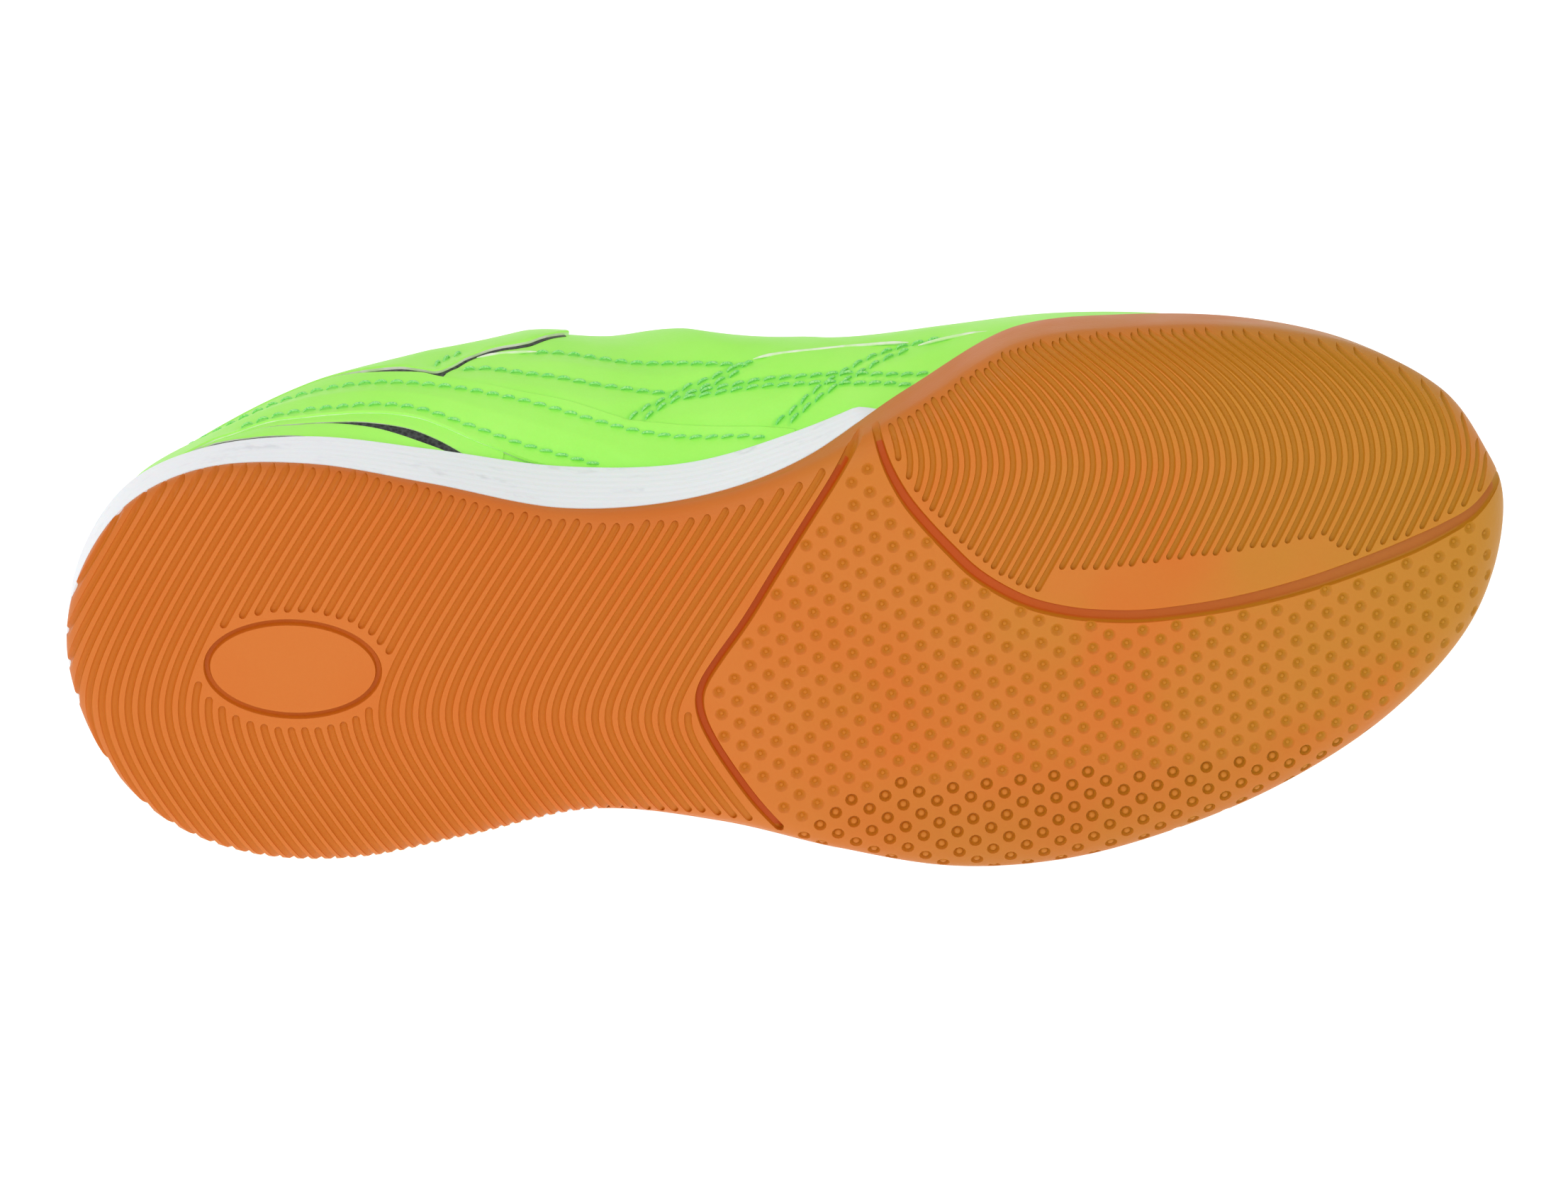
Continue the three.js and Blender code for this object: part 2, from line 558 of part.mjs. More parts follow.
// A channel cut into the sole along a line of points, square in section.
function channelSolid(line, width, depth, closed) {
  const curve = new THREE.CatmullRomCurve3(line, closed);
  const count = closed ? 24 : line.length * 2;
  const loops = spread(0, 1, count)
    .slice(0, closed ? count : count + 1)
    .map((t) => {
      const p = curve.getPoint(t);
      const along = curve.getTangent(t);
      const across = point(along.y, -along.x, 0).normalize().multiplyScalar(width / 2);
      const low = -depth;
      const high = ground(p.x) + depth;
      return [
        p.clone().sub(across).setZ(low), p.clone().add(across).setZ(low),
        p.clone().add(across).setZ(high), p.clone().sub(across).setZ(high),
      ];
    });
  if (closed) return ringSolid(loops);
  const points = loops.flat();
  const faces = [];
  for (let j = 0; j + 4 < points.length; j += 4) {
    for (let i = 0; i < 4; i++) quad(faces, points, j + i, j + ((i + 1) % 4), j + 4 + ((i + 1) % 4), j + 4 + i);
  }
  quad(faces, points, 3, 2, 1, 0);
  const end = points.length - 4;
  quad(faces, points, end, end + 1, end + 2, end + 3);
  return toSolid(geometryOf(points, faces));
}

const onSole = ([x, y]) => point(x * soleLength, y * ballWidth, 0);

function ovalLine() {
  const centre = onSole(ovalCentre);
  return spread(0, 2 * Math.PI, 24)
    .slice(0, 24)
    .map((angle) =>
      point((Math.cos(angle) * (ovalLength - ovalRing)) / 2, (Math.sin(angle) * (ovalWidth - ovalRing)) / 2, 0)
        .applyAxisAngle(point(0, 0, 1), ovalTurn)
        .add(centre),
    );
}

const gumFinish = new THREE.MeshStandardMaterial({ color: 0xc9762f, roughness: 0.45, metalness: 0 });
const whiteFinish = new THREE.MeshStandardMaterial({ color: 0xe9eaee, roughness: 0.55, metalness: 0 });
const greenFinish = new THREE.MeshStandardMaterial({ color: 0x86f24a, roughness: 0.5, metalness: 0 });
const blackFinish = new THREE.MeshStandardMaterial({ color: 0x1a1b1c, roughness: 0.8, metalness: 0 });

const shoe = new THREE.Group();

function add(name, solid, material) {
  const mesh = solid.getMesh();
  const geometry = new THREE.BufferGeometry();
  geometry.setAttribute("position", new THREE.BufferAttribute(mesh.vertProperties, 3));
  geometry.setIndex(new THREE.BufferAttribute(mesh.triVerts, 1));
  const piece = new THREE.Mesh(geometry, material);
  piece.name = name;
  shoe.add(piece);
}

const channels = [
  channelSolid(angleChannel.map(onSole), channelWidth, channelDepth, false),
  channelSolid(curveChannel.map(onSole), channelWidth, channelDepth, false),
  channelSolid(ovalLine(), ovalRing, channelDepth, true),
];
add("outsole", channels.reduce((sole, channel) => sole.subtract(channel), outsoleSolid()), gumFinish);
add("midsole", midsoleSolid(), whiteFinish);
add("insole", insoleSolid(), blackFinish);
const holes = eyeletHoles();
add("upper", holes.reduce((solid, hole) => solid.subtract(hole), upperSolid()), greenFinish);
add("eyestay", holes.reduce((solid, hole) => solid.subtract(hole), eyestaySolid()), greenFinish);
add("heel_counter", counterSolid(), greenFinish);
add("quarter_inlay", inlaySolid(), blackFinish);
add("collar_pad", collarSolid(), blackFinish);
add("tongue", tongueSolid(), blackFinish);
add("lace", laceSolid(), greenFinish);

// Centre of the shoe's volume, from the pyramids that its triangles make with the origin.
function centreOfVolume() {
  const centre = point(0, 0, 0);
  let volume = 0;
  for (const { geometry } of shoe.children) {
    const corner = (i) => point(0, 0, 0).fromBufferAttribute(geometry.attributes.position, geometry.index.getX(i));
    for (let i = 0; i < geometry.index.count; i += 3) {
      const [a, b, c] = [corner(i), corner(i + 1), corner(i + 2)];
      const pyramid = a.dot(b.clone().cross(c)) / 6;
      volume += pyramid;
      centre.addScaledVector(a.add(b).add(c), pyramid / 4);
    }
  }
  return centre.divideScalar(volume);
}

// The broadest facet of the shoe's hull that spans its outer side from the sole to the upper and lies under
// its middle: what it rests on.
function restingSide() {
  const hull = new ConvexHull().setFromObject(shoe);
  const middle = centreOfVolume();
  const under = hull.faces.filter((face) => {
    if (face.normal.y < 0.9 || face.normal.z < 0) return false;
    const corners = [face.edge.prev.head().point, face.edge.head().point, face.edge.next.head().point];
    const foot = middle.clone().addScaledVector(face.normal, -face.distanceToPoint(middle));
    return new THREE.Triangle(...corners).containsPoint(foot);
  });
  under.sort((a, b) => b.area - a.area);
  return under[0].normal.clone();
}

// Laid down: the resting side faces the floor, and the toe points along +X.
function layDown() {
  shoe.updateMatrixWorld(true);
  const down = restingSide();
  const forward = point(1, 0, 0).projectOnPlane(down).normalize();
  const up = down.clone().negate();
  const back = up.clone().cross(forward);
  shoe.quaternion.setFromRotationMatrix(new THREE.Matrix4().makeBasis(forward, back, up).transpose());
  shoe.updateMatrixWorld(true);
  const box = new THREE.Box3().setFromObject(shoe, true);
  const centre = box.getCenter(point(0, 0, 0));
  shoe.position.set(-centre.x, -centre.y, -box.min.z);
}
layDown();

const part = new THREE.Group();
part.add(shoe);
export default part;
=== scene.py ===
import json
import math

import bmesh
import bpy
import numpy as np
from mathutils import Matrix, Vector, kdtree


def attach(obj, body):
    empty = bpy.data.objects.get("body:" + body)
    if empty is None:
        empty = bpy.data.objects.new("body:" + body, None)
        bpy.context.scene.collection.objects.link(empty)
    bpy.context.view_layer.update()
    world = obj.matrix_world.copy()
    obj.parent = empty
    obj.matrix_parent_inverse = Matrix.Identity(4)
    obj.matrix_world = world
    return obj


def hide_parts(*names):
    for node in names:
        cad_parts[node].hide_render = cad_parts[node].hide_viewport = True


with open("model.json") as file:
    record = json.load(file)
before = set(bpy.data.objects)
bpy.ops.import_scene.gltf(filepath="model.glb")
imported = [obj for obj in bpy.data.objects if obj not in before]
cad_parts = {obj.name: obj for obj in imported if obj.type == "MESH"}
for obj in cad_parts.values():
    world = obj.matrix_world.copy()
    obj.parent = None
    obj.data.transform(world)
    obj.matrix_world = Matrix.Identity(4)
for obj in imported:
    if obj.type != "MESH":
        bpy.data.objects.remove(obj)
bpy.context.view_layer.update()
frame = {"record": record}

# Gum outsole: one moulding of translucent gum rubber, flat under the foot and wrapped up round the forefoot.
# The outline, side and toe spring below shape every piece above it. Lengths are in millimetres, and the shoe
# is shaped standing: x to the toe, y to the outer side, z up. It is laid down by the two flats of its sole.
sole_length, ball_width, foxing_height, collar_height = 276.0, 106.5, 24.0, 86.0
toe_spring, heel_bevel = 13.0, 2.5
gum_slab, gum_wall, side_wall = 4.0, 2.6, 4.6
clearance, cup_gap = 0.35, 0.6

heel_flat, ball_flat = (np.array(mount["pos_m"]) * 1000 for mount in frame["record"]["mounts"])
sole_normal = np.array(frame["record"]["mounts"][0]["axis"])
standing_heel_flat, standing_ball_flat = np.array((42.78, 5.6445, 0)), np.array((165.0, 25.0, 0))


def axes_along(direction, normal):
    """Columns of a right-handed frame whose first axis is direction and last is normal."""
    first = direction / np.linalg.norm(direction)
    return np.stack([first, np.cross(normal, first), normal], axis=1)


laid_axes = axes_along(ball_flat - heel_flat, sole_normal)
standing_axes = axes_along(standing_ball_flat - standing_heel_flat, np.array((0, 0, -1.0)))
lay = laid_axes @ standing_axes.T


def laid(points):
    """Points of the standing shoe, in millimetres, as places in the row's frame, in metres."""
    return ((np.asarray(points, float) - standing_heel_flat) @ lay.T + heel_flat) / 1000


# x, inner and outer edge of the sole; x, half width, middle and height of the collar's and throat's edge.
section_x, inner_edge, outer_edge, open_x, open_half, open_mid, open_top = np.array([
    (0.0, 0.0, 0.0, 0.025, 0.0, 0.0, 1.0),
    (0.014, -0.151, 0.17, 0.034, 0.06, 0.016, 0.988),
    (0.052, -0.279, 0.311, 0.065, 0.135, 0.04, 0.936),
    (0.109, -0.335, 0.396, 0.12, 0.24, 0.054, 0.86),
    (0.181, -0.321, 0.425, 0.185, 0.285, 0.058, 0.833),
    (0.261, -0.26, 0.405, 0.25, 0.277, 0.055, 0.878),
    (0.348, -0.189, 0.379, 0.312, 0.216, 0.047, 1.012),
    (0.435, -0.179, 0.428, 0.377, 0.155, 0.045, 1.035),
    (0.514, -0.225, 0.506, 0.438, 0.131, 0.042, 0.963),
    (0.591, -0.315, 0.567, 0.5, 0.117, 0.04, 0.9),
    (0.667, -0.408, 0.581, 0.554, 0.108, 0.04, 0.826),
    (0.743, -0.414, 0.552, 0.601, 0.094, 0.038, 0.773),
    (0.826, -0.384, 0.492, 0.638, 0.07, 0.038, 0.738),
    (0.902, -0.314, 0.401, 0.658, 0.042, 0.038, 0.721),
    (0.96, -0.204, 0.282, 0.665, 0.021, 0.038, 0.713),
    (0.989, -0.077, 0.161, 0.668, 0.008, 0.038, 0.71),
    (1.0, 0.024, 0.024, 0.669, 0.0, 0.038, 0.709),
]).T
toe_section = len(section_x) - 1
around = 2 * toe_section

# Side of the sole at some sections: roll and flare as shares of the ball width, lift, gum and top of the foxing.
side_at = np.array((0, 3, 6, 7, 8, 9, 10, 13, 16))
inner_side = np.array([
    (0.047, 0.146, 0, 0.19, 0.77), (0.047, 0.146, 0, 0.19, 0.7), (0.085, 0.167, 0.023, 0.21, 0.955),
    (0.076, 0.167, 0.018, 0.25, 0.91), (0.066, 0.167, 0.014, 0.311, 0.866), (0.056, 0.208, 0, 0.626, 0.761),
    (0.056, 0.25, -0.014, 0.826, 0.826), (0.066, 0.29, -0.023, 0.79, 0.79), (0.075, 0.29, -0.028, 0.83, 0.83),
])
outer_side = np.array([
    (0.047, 0.146, 0, 0.19, 0.77), (0.056, 0.146, 0, 0.19, 0.7), (0.066, 0.146, 0.077, 0.19, 0.93),
    (0.066, 0.156, 0.089, 0.205, 0.89), (0.066, 0.167, 0.063, 0.22, 0.85), (0.075, 0.208, 0, 0.5, 0.8),
    (0.085, 0.25, -0.014, 0.77, 0.77), (0.085, 0.29, -0.023, 0.78, 0.78), (0.075, 0.29, -0.028, 0.83, 0.83),
])


def round_shoe(inner, outer):
    """One value a section: up the inner side to the toe and back along the outer side."""
    return np.concatenate([inner, outer[-2:0:-1]])


def at(values, u):
    """Value at u round the shoe, on a smooth closed curve through the values."""
    u = np.asarray(u, float)
    i = np.floor(u).astype(int)
    t = u - i
    a, b, c, d = (values[(i + k) % around] for k in (-1, 0, 1, 2))
    return b + 0.5 * t * (c - a + t * (2 * a - 5 * b + 4 * c - d + t * (3 * (b - c) + d - a)))


def side_values(column):
    every = np.arange(toe_section + 1)
    return round_shoe(np.interp(every, side_at, inner_side[:, column]), np.interp(every, side_at, outer_side[:, column]))


edge_x, edge_y = round_shoe(section_x, section_x) * sole_length, round_shoe(inner_edge, outer_edge) * ball_width
rolls, flares = side_values(0) * ball_width, side_values(2) * ball_width
lifts, gums, tops = (side_values(column) * foxing_height for column in (1, 3, 4))


def ground(x):
    """Height of the sole's underside: level from heel to ball, then sprung up to the toe."""
    heel_run, toe_start = 0.045 * sole_length, 0.69 * sole_length
    heel = heel_bevel * (np.clip(heel_run - x, 0, None) / heel_run) ** 2
    return heel + toe_spring * (np.clip(x - toe_start, 0, None) / (sole_length - toe_start)) ** 2


def edge(u):
    return np.stack([at(edge_x, u), at(edge_y, u)], axis=-1)


def outward(u):
    step = edge(np.asarray(u) + 0.05) - edge(np.asarray(u) - 0.05)
    normal = np.stack([step[..., 1], -step[..., 0]], axis=-1)
    return normal / np.linalg.norm(normal, axis=-1, keepdims=True)


def beside_sole(u, out, up):
    """Points out from the sole's edge at u, and up from its underside there."""
    level = edge(u) + outward(u) * np.broadcast_to(out, np.shape(u))[..., None]
    return np.concatenate([level, (ground(level[..., 0]) + up)[..., None]], axis=-1)


def smooth(low, high, x):
    t = np.clip((x - low) / (high - low), 0, 1)
    return t * t * (3 - 2 * t)


def top_height(u):
    return at(tops, u)


def gum_height(u):
    return np.minimum(at(gums, u), top_height(u))


def side_out(u, up):
    return at(flares, u) * np.clip((up - at(lifts, u)) / (top_height(u) - at(lifts, u)), 0, 1)


def gum_inside(u, up):
    share = np.clip((up - gum_slab) / np.maximum(gum_height(u) - gum_slab, 1), 0, 1)
    foot = gum_wall + 0.35 * at(rolls, u)
    return foot * (1 - share) + (gum_wall - side_out(u, gum_height(u))) * share


def loops_to_faces(count, columns, closed=False):
    """Four-sided faces that join each loop of points to the next."""
    rows = count if closed else count - 1
    r, c = np.mgrid[0:rows, 0:columns]
    a, b = r * columns + c, r * columns + (c + 1) % columns
    up = lambda corner: (corner + columns) % (count * columns)
    return np.stack([a, b, up(b), up(a)], axis=-1).reshape(-1, 4).tolist()


def cap(start, columns):
    """Faces across a loop, from the inner side to the outer, with one triangle at each end."""
    i = np.arange(1, columns // 2 - 1)
    across = np.stack([i, i + 1, columns - i - 1, columns - i], axis=-1) + start
    ends = [[start, start + 1, start + columns - 1]]
    ends += [[start + columns // 2 - 1, start + columns // 2, start + columns // 2 + 1]]
    return across.tolist() + ends


def piece(name, points, faces, *materials, angle=35, second=()):
    """An object at the origin whose mesh has these points, laid down, and faces that point outwards.

    The faces numbered in second take the second material.
    """
    mesh = bpy.data.meshes.new(name)
    mesh.from_pydata(laid(np.asarray(points).reshape(-1, 3)).tolist(), [], faces)
    for i in second:
        mesh.polygons[i].material_index = 1
    shell = bmesh.new()
    shell.from_mesh(mesh)
    bmesh.ops.remove_doubles(shell, verts=shell.verts, dist=1e-6)
    bmesh.ops.recalc_face_normals(shell, faces=shell.faces)
    shell.to_mesh(mesh)
    shell.free()
    for material in materials:
        mesh.materials.append(material)
    thing = bpy.data.objects.new(name, mesh)
    bpy.context.collection.objects.link(thing)
    round_over(thing, angle)
    return thing


def round_over(thing, angle):
    """Shaded smooth, but for edges sharper than the angle."""
    bpy.ops.object.select_all(action="DESELECT")
    thing.select_set(True)
    bpy.context.view_layer.objects.active = thing
    bpy.ops.object.shade_smooth_by_angle(angle=math.radians(angle))


def cup(name, loops, *materials, angle=35):
    """A solid from loops that run from the underside out, up the side and in again."""
    columns, count = len(loops[0]), len(loops)
    faces = loops_to_faces(count, columns) + cap(0, columns) + cap((count - 1) * columns, columns)
    return piece(name, np.concatenate(loops), faces, *materials, angle=angle)


def srgb(red, green, blue):
    """A colour as the picture shows it, from 0 to 255, for a shader."""
    return tuple(((c / 255 + 0.055) / 1.055) ** 2.4 if c > 10 else c / 3295 for c in (red, green, blue)) + (1.0,)


class Wire:
    """A value over a surface that takes part in plain arithmetic."""

    def __init__(self, look, socket):
        self.look, self.socket = look, socket

    def maths(self, operation, *values):
        return self.look.node("Math", {"operation": operation}, dict(enumerate(values)))

    def __add__(self, other):
        return self.maths("ADD", self, other)

    def __mul__(self, other):
        return self.maths("MULTIPLY", self, other)

    def __sub__(self, other):
        return self.maths("SUBTRACT", self, other)

    def __rsub__(self, other):
        return self.maths("SUBTRACT", other, self)

    def __pow__(self, other):
        return self.maths("POWER", self, other)

    __radd__, __rmul__ = __add__, __mul__

    def wave(self):
        return self.maths("SINE", self)

    def between(self, low, high):
        """None below low, one above high."""
        return self.look.node("MapRange", {"clamp": True}, {0: self, 1: low, 2: high, 3: 0.0, 4: 1.0})


class Look:
    """A material that is worked out over the surface."""

    def __init__(self, name, **same_all_over):
        self.material = bpy.data.materials.new(name)
        self.material.use_nodes = True
        self.tree = self.material.node_tree
        self.shader = self.tree.nodes["Principled BSDF"]
        for socket, value in same_all_over.items():
            self.shader.inputs[socket.replace("_", " ")].default_value = value
        self.place = self.node("TexCoord", {}, {}, "Object")

    def node(self, kind, settings, inputs, output=0):
        made = self.tree.nodes.new("ShaderNode" + kind)
        for name, value in settings.items():
            setattr(made, name, value)
        for socket, value in inputs.items():
            self.feed(made.inputs[socket], value)
        return Wire(self, made.outputs[output])

    def feed(self, socket, value):
        if isinstance(value, Wire):
            self.tree.links.new(value.socket, socket)
        else:
            socket.default_value = value

    def noise(self, size, detail=2.0, stretch=None):
        """Noise whose blotches are about so many millimetres across."""
        place = self.place
        if stretch:
            place = self.node("Mapping", {}, {"Vector": place, "Scale": stretch})
        return self.node("TexNoise", {}, {"Vector": place, "Scale": 1000 / size, "Detail": detail})

    def blotch(self, size, low, high, detail=2.0):
        return self.noise(size, detail).between(low, high)

    def attribute(self, name):
        return self.node("Attribute", {"attribute_name": name}, {}, "Fac")

    def mix(self, first, second, share):
        return self.node("Mix", {"data_type": "RGBA"}, {0: share, 6: first, 7: second}, 2)

    def finish(self, colour, roughness, height=None, relief=0.1):
        """Sets colour, roughness and a bump whose height of one stands for relief in millimetres."""
        self.feed(self.shader.inputs["Base Color"], colour)
        self.feed(self.shader.inputs["Roughness"], roughness)
        if height is not None:
            bump = self.node("Bump", {}, {"Height": height, "Distance": relief / 1000, "Strength": 1.0})
            self.feed(self.shader.inputs["Normal"], bump)
        return self.material


gum = Look("gum rubber", Subsurface_Weight=0.12, Subsurface_Scale=0.003, Subsurface_Radius=(1.0, 0.5, 0.15), Specular_IOR_Level=0.25)
along = gum.node("SeparateXYZ", {}, {0: gum.place}, "X")
toe_share = along.between(-0.13, 0.135)
face = gum.mix(srgb(208, 114, 41), srgb(203, 118, 40), toe_share.between(0.35, 0.6))
face = gum.mix(face, srgb(186, 127, 28), toe_share.between(0.72, 1.0))
face = gum.mix(face, srgb(207, 103, 27), gum.blotch(38, 0.45, 0.68) * 0.55)
face = gum.mix(face, srgb(188, 127, 31), gum.blotch(26, 0.52, 0.72) * toe_share.between(0.4, 0.8) * 0.6)
# Painted shade: the gum is darkened towards its lowest edge on the table, where less light reaches it.
low_edge_shade = gum.node("SeparateXYZ", {}, {0: gum.place}, "Z").between(0.03, 0.006) * toe_share.between(0.3, 0.6)
face = gum.mix(face, srgb(176, 108, 26), low_edge_shade * 0.5)
# Painted shade: the floors of the grooves, channels and dimples take a darker, deeper colour by their depth.
floor = gum.mix(srgb(203, 111, 21), srgb(184, 126, 22), toe_share.between(0.3, 0.95))
shaded_channel_floor = gum.mix(srgb(196, 84, 12), srgb(184, 108, 36), toe_share.between(0.62, 0.9))
floor = gum.mix(floor, shaded_channel_floor, gum.attribute("depth").between(0.95, 1.3))
skin_colour = gum.mix(face, floor, gum.attribute("depth").between(0.1, 0.5))
gum_rubber = gum.finish(skin_colour, 0.4 + gum.noise(9) * 0.2, gum.noise(0.7, 3.0), 0.05)

sole_u = np.arange(0, around, around / 560)
gum_top, roll, lift = gum_height(sole_u), at(rolls, sole_u), np.minimum(at(lifts, sole_u), gum_height(sole_u) - 0.4)
loops = [beside_sole(sole_u, -1.8 * roll, 0)]
for arc in np.radians(np.linspace(0, 90, 9)):
    loops.append(beside_sole(sole_u, -(1 - math.sin(arc)) * roll, (1 - math.cos(arc)) * lift))
for share in (0.33, 0.66):
    height = lift + (gum_top - 0.4 - lift) * share
    loops.append(beside_sole(sole_u, side_out(sole_u, height), height))
for arc in np.radians((0, 30, 60, 90)):
    loops.append(beside_sole(sole_u, side_out(sole_u, gum_top) - 0.4 * (1 - math.cos(arc)), gum_top - 0.4 * (1 - math.sin(arc))))
slab_top = np.minimum(gum_slab, gum_top - 0.2)
loops.append(beside_sole(sole_u, -gum_inside(sole_u, gum_top), gum_top))
loops.append(beside_sole(sole_u, -gum_inside(sole_u, gum_slab), slab_top))
loops.append(beside_sole(sole_u, -2.2 * roll, slab_top))
outsole = cup("outsole_gum", loops, gum_rubber, angle=40)

# Tread: fine ribs bent round the foot, an oval flat under the heel, two deep channels that part the forefoot,
# and dimples on its outer half that turn to deep cups with a nub near the edge. All are moulded into the gum,
# so each is cut out of the sole's underside, with a floor that follows the rounded edge.
edge_points = edge(sole_u)
edge_normals = outward(sole_u)
edge_tree = kdtree.KDTree(len(sole_u))
for i, (x, y) in enumerate(edge_points):
    edge_tree.insert((x, y, 0), i)
edge_tree.balance()


def edge_inset(points):
    """Distance in from the sole's edge of points on plan, and the step of sole_u that each is nearest to."""
    near = np.array([edge_tree.find((x, y, 0))[1] for x, y in points])
    return -np.sum((points - edge_points[near]) * edge_normals[near], axis=1), near


def underside(points):
    """Height of the sole's underside over points on plan."""
    inset, near = edge_inset(points)
    share = np.clip(1 - inset / roll[near], 0, 1)
    return ground(points[:, 0]) + lift[near] * (1 - np.sqrt(1 - share**2)) + np.clip(-inset, 0, None) * 3


def smooth_path(points, pitch=0.6, closed=False):
    """Evenly spaced points along a smooth curve through the points."""
    spots = np.array(points, float)
    if closed:
        padded = np.concatenate([spots[-1:], spots, spots[:2]])
    else:
        padded = np.concatenate([2 * spots[:1] - spots[1:2], spots, 2 * spots[-1:] - spots[-2:-1]])
    fine = []
    for a, b, c, d in zip(padded, padded[1:], padded[2:], padded[3:]):
        t = np.linspace(0, 1, 24, endpoint=False)[:, None]
        fine.append(b + 0.5 * t * (c - a + t * (2 * a - 5 * b + 4 * c - d + t * (3 * (b - c) + d - a))))
    fine = np.concatenate(fine + [padded[1:2] if closed else spots[-1:]])
    run = np.concatenate([[0], np.cumsum(np.linalg.norm(np.diff(fine, axis=0), axis=1))])
    even = np.linspace(0, run[-1], max(int(run[-1] / pitch), 4) + 1)
    return np.stack([np.interp(even, run, fine[:, k]) for k in range(fine.shape[1])], axis=1)


cutter_points, cutter_faces = [], []


def add_cutter(points, faces):
    start = sum(len(block) for block in cutter_points)
    cutter_points.append(np.asarray(points).reshape(-1, 3))
    cutter_faces.extend([[start + corner for corner in face] for face in faces])


def cut_groove(path, width, depth, closed=False):
    """A groove along a path on plan, as wide as given or as each width along it, with rounded ends."""
    ahead, behind = np.roll(path, -1, axis=0), np.roll(path, 1, axis=0)
    if not closed:
        ahead[-1], behind[0] = path[-1], path[0]
    along_path = ahead - behind
    across = np.stack([-along_path[:, 1], along_path[:, 0]], axis=1)
    across /= np.linalg.norm(across, axis=1, keepdims=True)
    widths = np.atleast_1d(width)
    half = np.interp(np.linspace(0, 1, len(path)), np.linspace(0, 1, len(widths)), widths) / 2
    if not closed:
        run = np.concatenate([[0], np.cumsum(np.linalg.norm(np.diff(path, axis=0), axis=1))])
        from_end = np.minimum(run, run[-1] - run)
        half *= np.sqrt(1 - (1 - np.clip(from_end / half, 0.04, 1)) ** 2)
    over = underside(path)
    outline = ((-1.12, -3, 0), (1.12, -3, 0), (1.0, 0, 0), (0.82, 0.75, 1), (0.55, 1, 1), (-0.55, 1, 1), (-0.82, 0.75, 1), (-1.0, 0, 0))
    rings = []
    for side_share, height, deep in outline:
        level = path + across * (half * side_share)[:, None]
        rings.append(np.column_stack([level, over + (height * depth if deep else height)]))
    stations = np.stack(rings, axis=1)
    faces = loops_to_faces(len(path), len(outline), closed)
    if not closed:
        last = (len(path) - 1) * len(outline)
        faces += [list(range(len(outline))), [last + k for k in reversed(range(len(outline)))]]
    add_cutter(stations, faces)


def cut_sole(name):
    """Takes what has been added to the cutter out of the sole."""
    cutter = piece(name, np.concatenate(cutter_points), cutter_faces)
    cut = outsole.modifiers.new(name, "BOOLEAN")
    cut.operation, cut.solver, cut.object = "DIFFERENCE", "MANIFOLD", cutter
    bpy.ops.object.select_all(action="DESELECT")
    bpy.context.view_layer.objects.active = outsole
    bpy.ops.object.modifier_apply(modifier=name)
    bpy.data.objects.remove(cutter)
    cutter_points.clear()
    cutter_faces.clear()


# The two channels and the ring of the oval.
angle_channel = smooth_path([
    (155.4, -35.5), (154.9, -32.8), (148.9, -24.3), (142.4, -15.5), (134.9, -5.1), (128.3, 4.2), (122.6, 11.2), (119.3, 15.7),
    (118.0, 19.3), (118.3, 23.4), (120.0, 28.3), (122.8, 34.1), (126.6, 40.9), (131.4, 48.2),
])
curve_channel = smooth_path([
    (155.4, -35.5), (155.7, -32.0), (156.6, -26.5), (158.1, -21.5), (160.5, -16.2), (163.7, -11.2), (167.7, -5.8), (172.0, -0.6),
    (177.1, 3.7), (182.7, 7.1), (189.4, 9.5), (195.9, 10.9), (202.9, 11.8), (210.3, 12.0), (219.2, 11.8), (228.1, 11.1),
    (237.2, 9.9), (246.4, 8.2), (255.6, 6.2), (263.4, 4.0), (269.2, 1.6), (275.5, -3.2),
])
cut_groove(angle_channel, 1.8, 1.4)
cut_sole("angle_channel")
cut_groove(curve_channel, (1.5, 2.3, 2.5, 2.6, 2.8, 3.2, 3.5, 2.2), 1.4)
cut_sole("curve_channel")
oval_middle, oval_half, oval_turn = np.array((42.2, 4.6)), np.array((16.2, 9.4)), 0.16
turn_oval = np.array([(math.cos(oval_turn), -math.sin(oval_turn)), (math.sin(oval_turn), math.cos(oval_turn))])
oval_angles = np.linspace(0, 2 * math.pi, 72, endpoint=False)
oval = oval_middle + (np.stack([np.cos(oval_angles), np.sin(oval_angles)], axis=1) * oval_half) @ turn_oval.T
cut_groove(oval, 1.3, 1.1, closed=True)


def beside(path, points):
    """Distance of points to the left of a path on plan, less than none to its right."""
    tree = kdtree.KDTree(len(path))
    for i, (x, y) in enumerate(path):
        tree.insert((x, y, 0), i)
    tree.balance()
    near = np.array([tree.find((x, y, 0))[1] for x, y in points])
    step = path[np.clip(near + 1, 0, len(path) - 1)] - path[np.clip(near - 1, 0, len(path) - 1)]
    step /= np.linalg.norm(step, axis=1, keepdims=True)
    off = points - path[near]
    side = np.sign(step[:, 0] * off[:, 1] - step[:, 1] * off[:, 0])
    return side * np.linalg.norm(off, axis=1)


def cut_ribs(paths, allowed, width, depth):
    """Grooves along the stretches of the paths whose points are allowed."""
    points = np.concatenate(paths)
    fine = allowed(points)
    start = 0
    for path in paths:
        keep = fine[start:start + len(path)]
        start += len(path)
        breaks = np.flatnonzero(np.diff(np.concatenate([[0], keep.astype(int), [0]])))
        for first, last in zip(breaks[::2], breaks[1::2]):
            if last - first > 5:
                stretch = path[first:last]
                thin = smooth_path(stretch[::3] if (len(stretch) - 1) % 3 == 0 else np.concatenate([stretch[::3], stretch[-1:]]), 1.5)
                tips = [thin[0] * (1 - t) + thin[1] * t for t in (0.0, 0.15, 0.4)]
                ends = [thin[-1] * (1 - t) + thin[-2] * t for t in (0.4, 0.15, 0.0)]
                cut_groove(np.concatenate([tips, thin[1:-1], ends]), width, depth)


